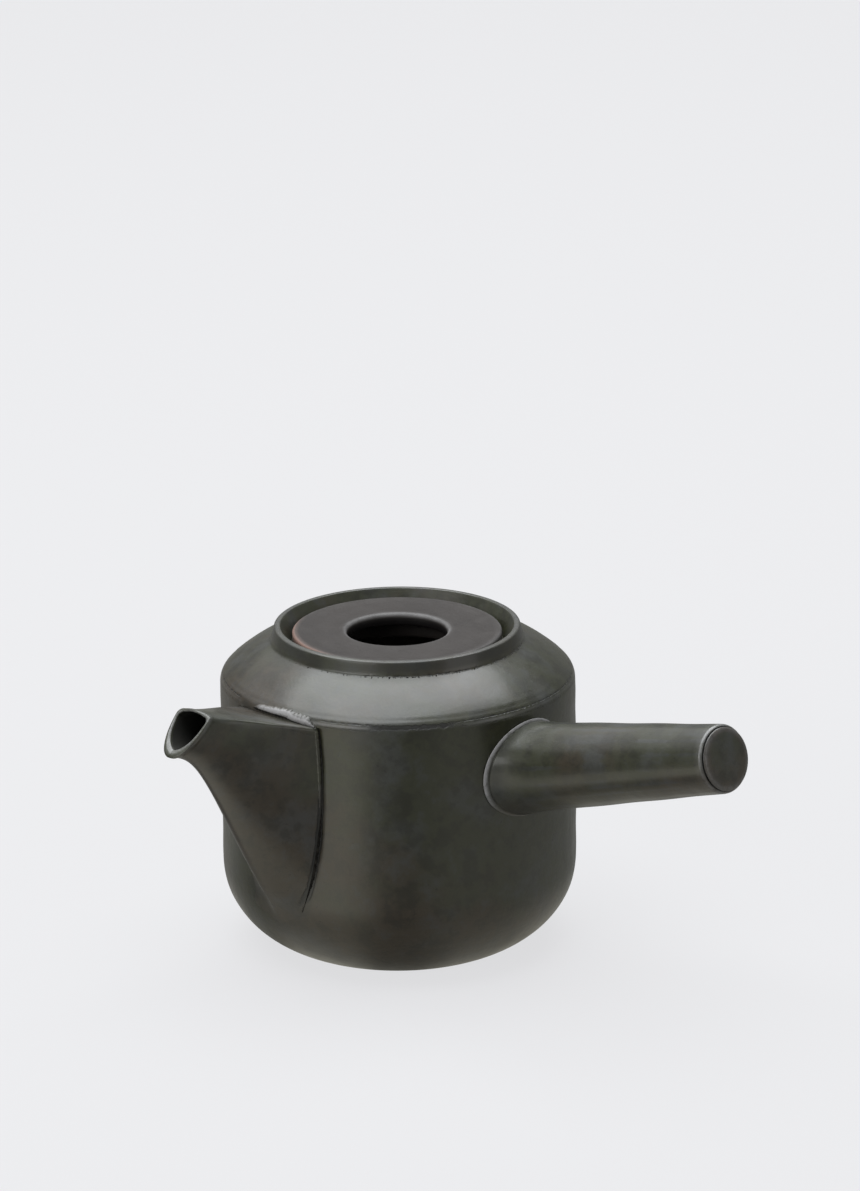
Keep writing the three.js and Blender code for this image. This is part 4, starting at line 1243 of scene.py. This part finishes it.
def make_handle_end(handle, finish):
    """The disc that closes the handle: a turned plate with a soft edge, a dished face and a plug."""
    high, under = handle.reach, handle.reach - handle.disc_thickness
    plug = handle.tip_radius - handle.wall - handle.disc_gap
    low = under - handle.disc_gap - handle.plug_depth
    axis_gap = 0.0006
    plug_root, back, front = (plug, under), (handle.disc_radius, under), (handle.disc_radius, high)
    outline = spaced(np.concatenate([
        [(axis_gap, low)], rounded((0, low), (plug, low), plug_root, 0.0004, 3), [plug_root],
        rounded(plug_root, back, front, 0.0002, 3),
        rounded(back, front, (0, high), handle.disc_rounding, 8), [(axis_gap, high)]]), 0.0009)
    turn, radius, distance = turned_grid(outline, HANDLE_COLUMNS)
    dish = 0.0002 * (1 - (radius / handle.disc_radius) ** 2) + 0.00018 * fade(radius, 0.0066, 0.0082)
    dish = dish * fade(distance, under + 0.0002, high - 0.0001)
    grid = around_handle(handle, turn, distance - dish, radius)
    ahead, _, foot = handle_axes(handle)
    wear_and_highlight = 0.2 * bump(radius, handle.disc_radius - 0.0005, 0.0008) * (distance > under + 0.0002)
    # The disc's back and plug, inside the groove, are darkened: painted shade
    values = {"wear_and_highlight": wear_and_highlight, "pool_and_shade": 0.6 * (distance < under + 0.0003),
              "brown": 2.0 * bump(radius, handle.disc_radius, 0.0018)}
    pot_piece("handle_disc", grid, capped_faces(*grid.shape[:2], flipped=True), finish, "handle_end", values,
              [foot + low * ahead, foot + (high - 0.0002) * ahead])


# Lid

def make_lid(pot, lid, finish):
    """The lid as one turned ring: flat top, round edges, underside and the flange inside the mouth."""
    under = lid.top - lid.thickness
    flange_outer = pot.mouth_radius - lid.flange_clearance
    flange_inner = flange_outer - lid.flange_thickness
    bottom = LID_LOW.z
    outline = round_loop([
        (lid.hole_radius, under), (lid.hole_radius, lid.top), (lid.radius, lid.top), (lid.radius, under),
        (flange_outer, under), (flange_outer, bottom), (flange_inner, bottom), (flange_inner, under)],
        (0.0006, lid.hole_rounding, lid.rounding, 0.0005, 0.0004, 0.0008, 0.0008, 0.0006), 6)
    outline = spaced(np.concatenate([outline, outline[:1]]), 0.0012)[:-1]
    turn, radius, height = turned_grid(outline, LID_COLUMNS)
    on_top = fade(height, lid.top - 0.0008, lid.top)
    across = fade(radius, lid.hole_radius + 0.001, lid.hole_radius + 0.006) * (1 - fade(radius, 0.026, 0.030))
    sag = 0.00018 * across * on_top + 0.00003 * np.sin(2 * turn) * on_top
    sag = sag + 0.000025 * np.sin(2400 * radius) * on_top * across
    grid = np.stack([radius * np.cos(turn), radius * np.sin(turn), height - sag], -1)
    rim = bump(radius, lid.radius - 0.0002, 0.0006) * fade(height, lid.top - 0.0028, lid.top - 0.0008)
    # A pale ring on the finger hole's rounded edge: wear and painted highlight
    hole_wear_and_highlight = 0.55 * bump(radius, lid.hole_radius + 0.0006, 0.0006)
    hole_wear_and_highlight = hole_wear_and_highlight * fade(height, lid.top - 0.0013, lid.top - 0.0006)
    # The finger hole's wall below its round edge is darkened: painted shade
    hole_shade = (1 - fade(height, lid.top - 0.0019, lid.top - 0.0009)) * (radius < lid.hole_radius + 0.001)
    faces = [ring_faces(*radius.shape, joined=True)[:, ::-1]]
    new_piece("lid_ring", grid, faces, shared_material(dry_lid_glaze, finish), "lid", "lid",
              {"wear_and_highlight": 0.3 * rim + hole_wear_and_highlight, "rim": rim, "hole_shade": hole_shade})


# Stage

FLOOR_HALF_WIDTH = 6.0
FLOOR_GLOW_SHARE = 0.76
FLOOR_STRENGTH = 1.12
FILL_STRENGTH = 0.22
SURROUND_IN_GLOSS = 0.08


def place_object(name, data, axes, place):
    """Adds an object to the scene, with its axes as the columns of a matrix, at a place."""
    thing = bpy.data.objects.new(name, data)
    matrix = np.eye(4)
    matrix[:3, :3] = axes
    matrix[:3, 3] = place
    thing.matrix_world = Matrix(matrix.tolist())
    bpy.context.scene.collection.objects.link(thing)
    return thing


def make_camera(stage):
    """The photograph's camera: it looks at the target, then turns so that the target lands on its pixel."""
    focal = stage.picture_scale * stage.distance
    cos_e, sin_e = math.cos(stage.elevation), math.sin(stage.elevation)
    back = np.array([math.sin(stage.azimuth) * cos_e, -math.cos(stage.azimuth) * cos_e, sin_e])
    right = np.cross((0, 0, 1), back)
    right /= np.linalg.norm(right)
    basis = np.array([right, np.cross(back, right), back])
    yaw = math.atan2(stage.target_column - stage.picture_width / 2, focal)
    pitch = math.atan2(stage.target_row - stage.picture_height / 2, focal)
    turn_y = np.array([[math.cos(yaw), 0, -math.sin(yaw)], [0, 1, 0], [math.sin(yaw), 0, math.cos(yaw)]])
    cos_p, sin_p = math.cos(pitch), math.sin(pitch)
    turn_x = np.array([[1, 0, 0], [0, cos_p, sin_p], [0, -sin_p, cos_p]])
    cos_r, sin_r = math.cos(stage.roll), math.sin(stage.roll)
    turn_z = np.array([[cos_r, -sin_r, 0], [sin_r, cos_r, 0], [0, 0, 1]])
    axes = (turn_x @ turn_y @ turn_z @ basis).T
    place = np.array([0, 0, stage.target_height]) + stage.distance * back
    data = bpy.data.cameras.new("photo_camera")
    data.sensor_fit = "AUTO"
    data.sensor_width = 36.0
    data.lens = data.sensor_width * focal / max(stage.picture_width, stage.picture_height)
    data.clip_start, data.clip_end = 0.05, 30.0
    bpy.context.scene.camera = place_object("photo_camera", data, axes, place)


def make_softbox(name, size, place, aim_height, watts, tint=(1, 1, 1)):
    """A rectangular area light that faces a height on the pot's axis."""
    data = bpy.data.lights.new(name, "AREA")
    data.shape = "RECTANGLE"
    data.size, data.size_y = size
    data.energy = watts
    data.color = tint
    back = np.array(place, float) - (0, 0, aim_height)
    back /= np.linalg.norm(back)
    side = np.cross((0, 1, 0) if abs(back[2]) > 0.95 else (0, 0, 1), back)
    side /= np.linalg.norm(side)
    place_object(name, data, np.stack([side, np.cross(back, side), back], -1), place)


def around_camera(stage, turn, elevation, distance):
    """A place at a turn from the camera's side of the pot, positive to the picture's right."""
    azimuth = stage.azimuth + math.radians(turn)
    flat = distance * math.cos(math.radians(elevation))
    return (flat * math.sin(azimuth), -flat * math.cos(azimuth), distance * math.sin(math.radians(elevation)))


def ray(tree, kind):
    """1 for rays of that kind, and 0 for the others."""
    return add_node(tree, "ShaderNodeLightPath").outputs[f"Is {kind} Ray"]


def pale_rays(tree, in_gloss):
    """1 for rays from the camera and through glass, in_gloss for rays off a gloss, 0 for rays that light."""
    first = calculate(tree, "MAXIMUM", ray(tree, "Camera"), times(tree, ray(tree, "Glossy"), in_gloss))
    return calculate(tree, "MAXIMUM", first, ray(tree, "Transmission"))


def mixed(tree, factor, first, second):
    """The first shader mixed with the second one by the factor."""
    inputs = {0: factor, 1: first.outputs[0], 2: second.outputs[0]}
    return add_node(tree, "ShaderNodeMixShader", inputs).outputs[0]


def floor_in_gloss(tree, stage):
    """Glow that the floor shows only in glosses, painted by place: bright on the left, dim in front of the
    pot, so that the pot shows painted reflections.
    """
    place = add_node(tree, "ShaderNodeTexCoord").outputs["Object"]
    cos_a, sin_a = math.cos(stage.azimuth), math.sin(stage.azimuth)
    side, front = (reach_towards(tree, place, (*way, 0)) for way in ((cos_a, sin_a), (sin_a, -cos_a)))
    turn = calculate(tree, "ARCTAN2", side, front)
    far = add_node(tree, "ShaderNodeVectorMath", {0: place}, operation="LENGTH").outputs["Value"]
    left = times(tree, between(tree, turn, -0.10, -0.46), between(tree, turn, -1.2, -0.8))
    left = times(tree, left, between(tree, far, 0.065, 0.115, 0.3, 1.0))
    right = times(tree, between(tree, turn, 0.05, 0.55), between(tree, turn, 2.1, 1.2, 0.3, 1.0))
    near = between(tree, far, 0.095, 0.060)
    behind = between(tree, turn, -1.3, -2.0)
    glow = 0.07
    for part, strength in ((left, 1.4), (right, 0.34), (near, 0.20), (behind, 0.15)):
        glow = plus(tree, times(tree, part, strength), glow)
    return glow


def make_floor(stage):
    """A pale floor that mixes its own even glow with the light on it, so that it keeps the pot's shadow."""
    material = bpy.data.materials.new("pale_floor")
    tree = empty_tree(material)
    lit = add_node(tree, "ShaderNodeBsdfDiffuse", {"Color": (*stage.floor, 1)})
    # In glosses the floor glows by that painted pattern in a warm olive tint: painted reflections on the
    # pot's glaze
    dimmer = calculate(tree, "SUBTRACT", floor_in_gloss(tree, stage), FLOOR_STRENGTH)
    strength = plus(tree, times(tree, ray(tree, "Glossy"), dimmer), FLOOR_STRENGTH)
    hue = layered(tree, stage.backdrop, [(ray(tree, "Glossy"), (0.84, 0.82, 0.70))])
    glow = add_node(tree, "ShaderNodeEmission", {"Color": hue, "Strength": strength})
    weight = times(tree, pale_rays(tree, 1), FLOOR_GLOW_SHARE)
    put_out(tree, "ShaderNodeOutputMaterial", mixed(tree, weight, lit, glow))
    half = FLOOR_HALF_WIDTH
    mesh = bpy.data.meshes.new("pale_floor")
    mesh.from_pydata([(-half, -half, 0), (half, -half, 0), (half, half, 0), (-half, half, 0)], [], [range(4)])
    mesh.materials.append(material)
    place_object("pale_floor", mesh, np.eye(3), (0, 0, 0))


def make_world(stage):
    """A pale surround for the camera and for glosses, and a dimmer one as fill light."""
    world = bpy.data.worlds.new("pale_surround")
    tree = empty_tree(world)
    fill, seen = (
        add_node(tree, "ShaderNodeBackground", {"Color": (*stage.backdrop, 1), "Strength": strength})
        for strength in (FILL_STRENGTH, 1.0))
    put_out(tree, "ShaderNodeOutputWorld", mixed(tree, pale_rays(tree, SURROUND_IN_GLOSS), fill, seen))
    bpy.context.scene.world = world


def make_stage(stage):
    """Camera, floor, surround and four softboxes: overhead, on both sides, and behind on the left."""
    bpy.context.scene.view_settings.view_transform = "Standard"
    make_camera(stage)
    make_floor(stage)
    make_world(stage)
    make_softbox("overhead", (1.74, 2.45), around_camera(stage, -156, 79.2, 1.62), 0.06, 54,
                 (0.95, 0.98, 1.0))
    make_softbox("left_panel", (1.1, 0.4), around_camera(stage, -42, 25, 1.4), 0.05, 4.5)
    make_softbox("right_panel", (1.0, 0.7), around_camera(stage, 60, 14, 1.8), 0.05, 2.2)
    make_softbox("left_key", (2.2, 1.2), around_camera(stage, -136, 42, 1.9), 0.05, 4.4)


# Operators and panel

def chosen(context, *names):
    """The scene's settings for those parts."""
    return [getattr(context.scene, f"kyusu_{name}") for name in names]


class KYUSU_OT_pot(Operator):
    """Add the thrown pot with its collar, lid seat and the port behind the spout"""

    bl_idname = "kyusu.pot"
    bl_label = "Pot Body"

    def execute(self, context):
        make_pot_body(*chosen(context, "pot", "spout", "finish"))
        make_pocket(*chosen(context, "pot", "strainer", "finish"))
        return {"FINISHED"}


class KYUSU_OT_spout(Operator):
    """Add the folded spout with its channel"""

    bl_idname = "kyusu.spout"
    bl_label = "Spout"

    def execute(self, context):
        make_spout(*chosen(context, "pot", "spout", "finish"))
        make_luting(*chosen(context, "pot", "spout", "finish"))
        return {"FINISHED"}


class KYUSU_OT_handle(Operator):
    """Add the hollow side handle and the disc that closes its end"""

    bl_idname = "kyusu.handle"
    bl_label = "Handle"

    def execute(self, context):
        make_handle(*chosen(context, "pot", "handle", "finish"))
        make_handle_end(*chosen(context, "handle", "finish"))
        return {"FINISHED"}


class KYUSU_OT_lid(Operator):
    """Add the sunk lid with its finger hole"""

    bl_idname = "kyusu.lid"
    bl_label = "Lid"

    def execute(self, context):
        make_lid(*chosen(context, "pot", "lid", "finish"))
        return {"FINISHED"}


class KYUSU_OT_strainer(Operator):
    """Add the strainer plate: a folded rim and woven wires"""

    bl_idname = "kyusu.strainer"
    bl_label = "Strainer"

    def execute(self, context):
        make_strainer(*chosen(context, "pot", "strainer", "finish"))
        return {"FINISHED"}


class KYUSU_OT_stage(Operator):
    """Add the camera, the pale floor and the soft light"""

    bl_idname = "kyusu.stage"
    bl_label = "Stage"

    def execute(self, context):
        make_stage(*chosen(context, "stage"))
        return {"FINISHED"}


class KYUSU_PT_panel(Panel):
    """Lists the teapot's pieces and their sizes"""

    bl_idname = "KYUSU_PT_panel"
    bl_label = "Kyusu"
    bl_space_type = "VIEW_3D"
    bl_region_type = "UI"
    bl_category = "Kyusu"

    def draw(self, context):
        layout = self.layout
        for operator, group in PARTS:
            box = layout.box()
            box.operator(operator.bl_idname)
            settings = getattr(context.scene, group)
            for name in settings.__annotations__:
                box.prop(settings, name)


GROUPS = {
    "kyusu_pot": KYUSU_PG_pot,
    "kyusu_lid": KYUSU_PG_lid,
    "kyusu_handle": KYUSU_PG_handle,
    "kyusu_spout": KYUSU_PG_spout,
    "kyusu_strainer": KYUSU_PG_strainer,
    "kyusu_finish": KYUSU_PG_finish,
    "kyusu_stage": KYUSU_PG_stage,
}
PARTS = [
    (KYUSU_OT_stage, "kyusu_stage"),
    (KYUSU_OT_pot, "kyusu_pot"),
    (KYUSU_OT_spout, "kyusu_spout"),
    (KYUSU_OT_handle, "kyusu_handle"),
    (KYUSU_OT_lid, "kyusu_lid"),
    (KYUSU_OT_strainer, "kyusu_strainer"),
]


def register():
    """Registers the settings, the operators and the panel."""
    for name, group in GROUPS.items():
        bpy.utils.register_class(group)
        setattr(bpy.types.Scene, name, PointerProperty(type=group))
    for operator, _ in PARTS:
        bpy.utils.register_class(operator)
    bpy.utils.register_class(KYUSU_PT_panel)


def unregister():
    """Takes out what register put in."""
    bpy.utils.unregister_class(KYUSU_PT_panel)
    for operator, _ in reversed(PARTS):
        bpy.utils.unregister_class(operator)
    for name, group in reversed(GROUPS.items()):
        delattr(bpy.types.Scene, name)
        bpy.utils.unregister_class(group)


def main():
    """Builds every piece."""
    register()
    bpy.ops.kyusu.stage()
    bpy.ops.kyusu.pot()
    bpy.ops.kyusu.spout()
    bpy.ops.kyusu.handle()
    bpy.ops.kyusu.lid()
    bpy.ops.kyusu.strainer()


if __name__ == "__main__":
    main()
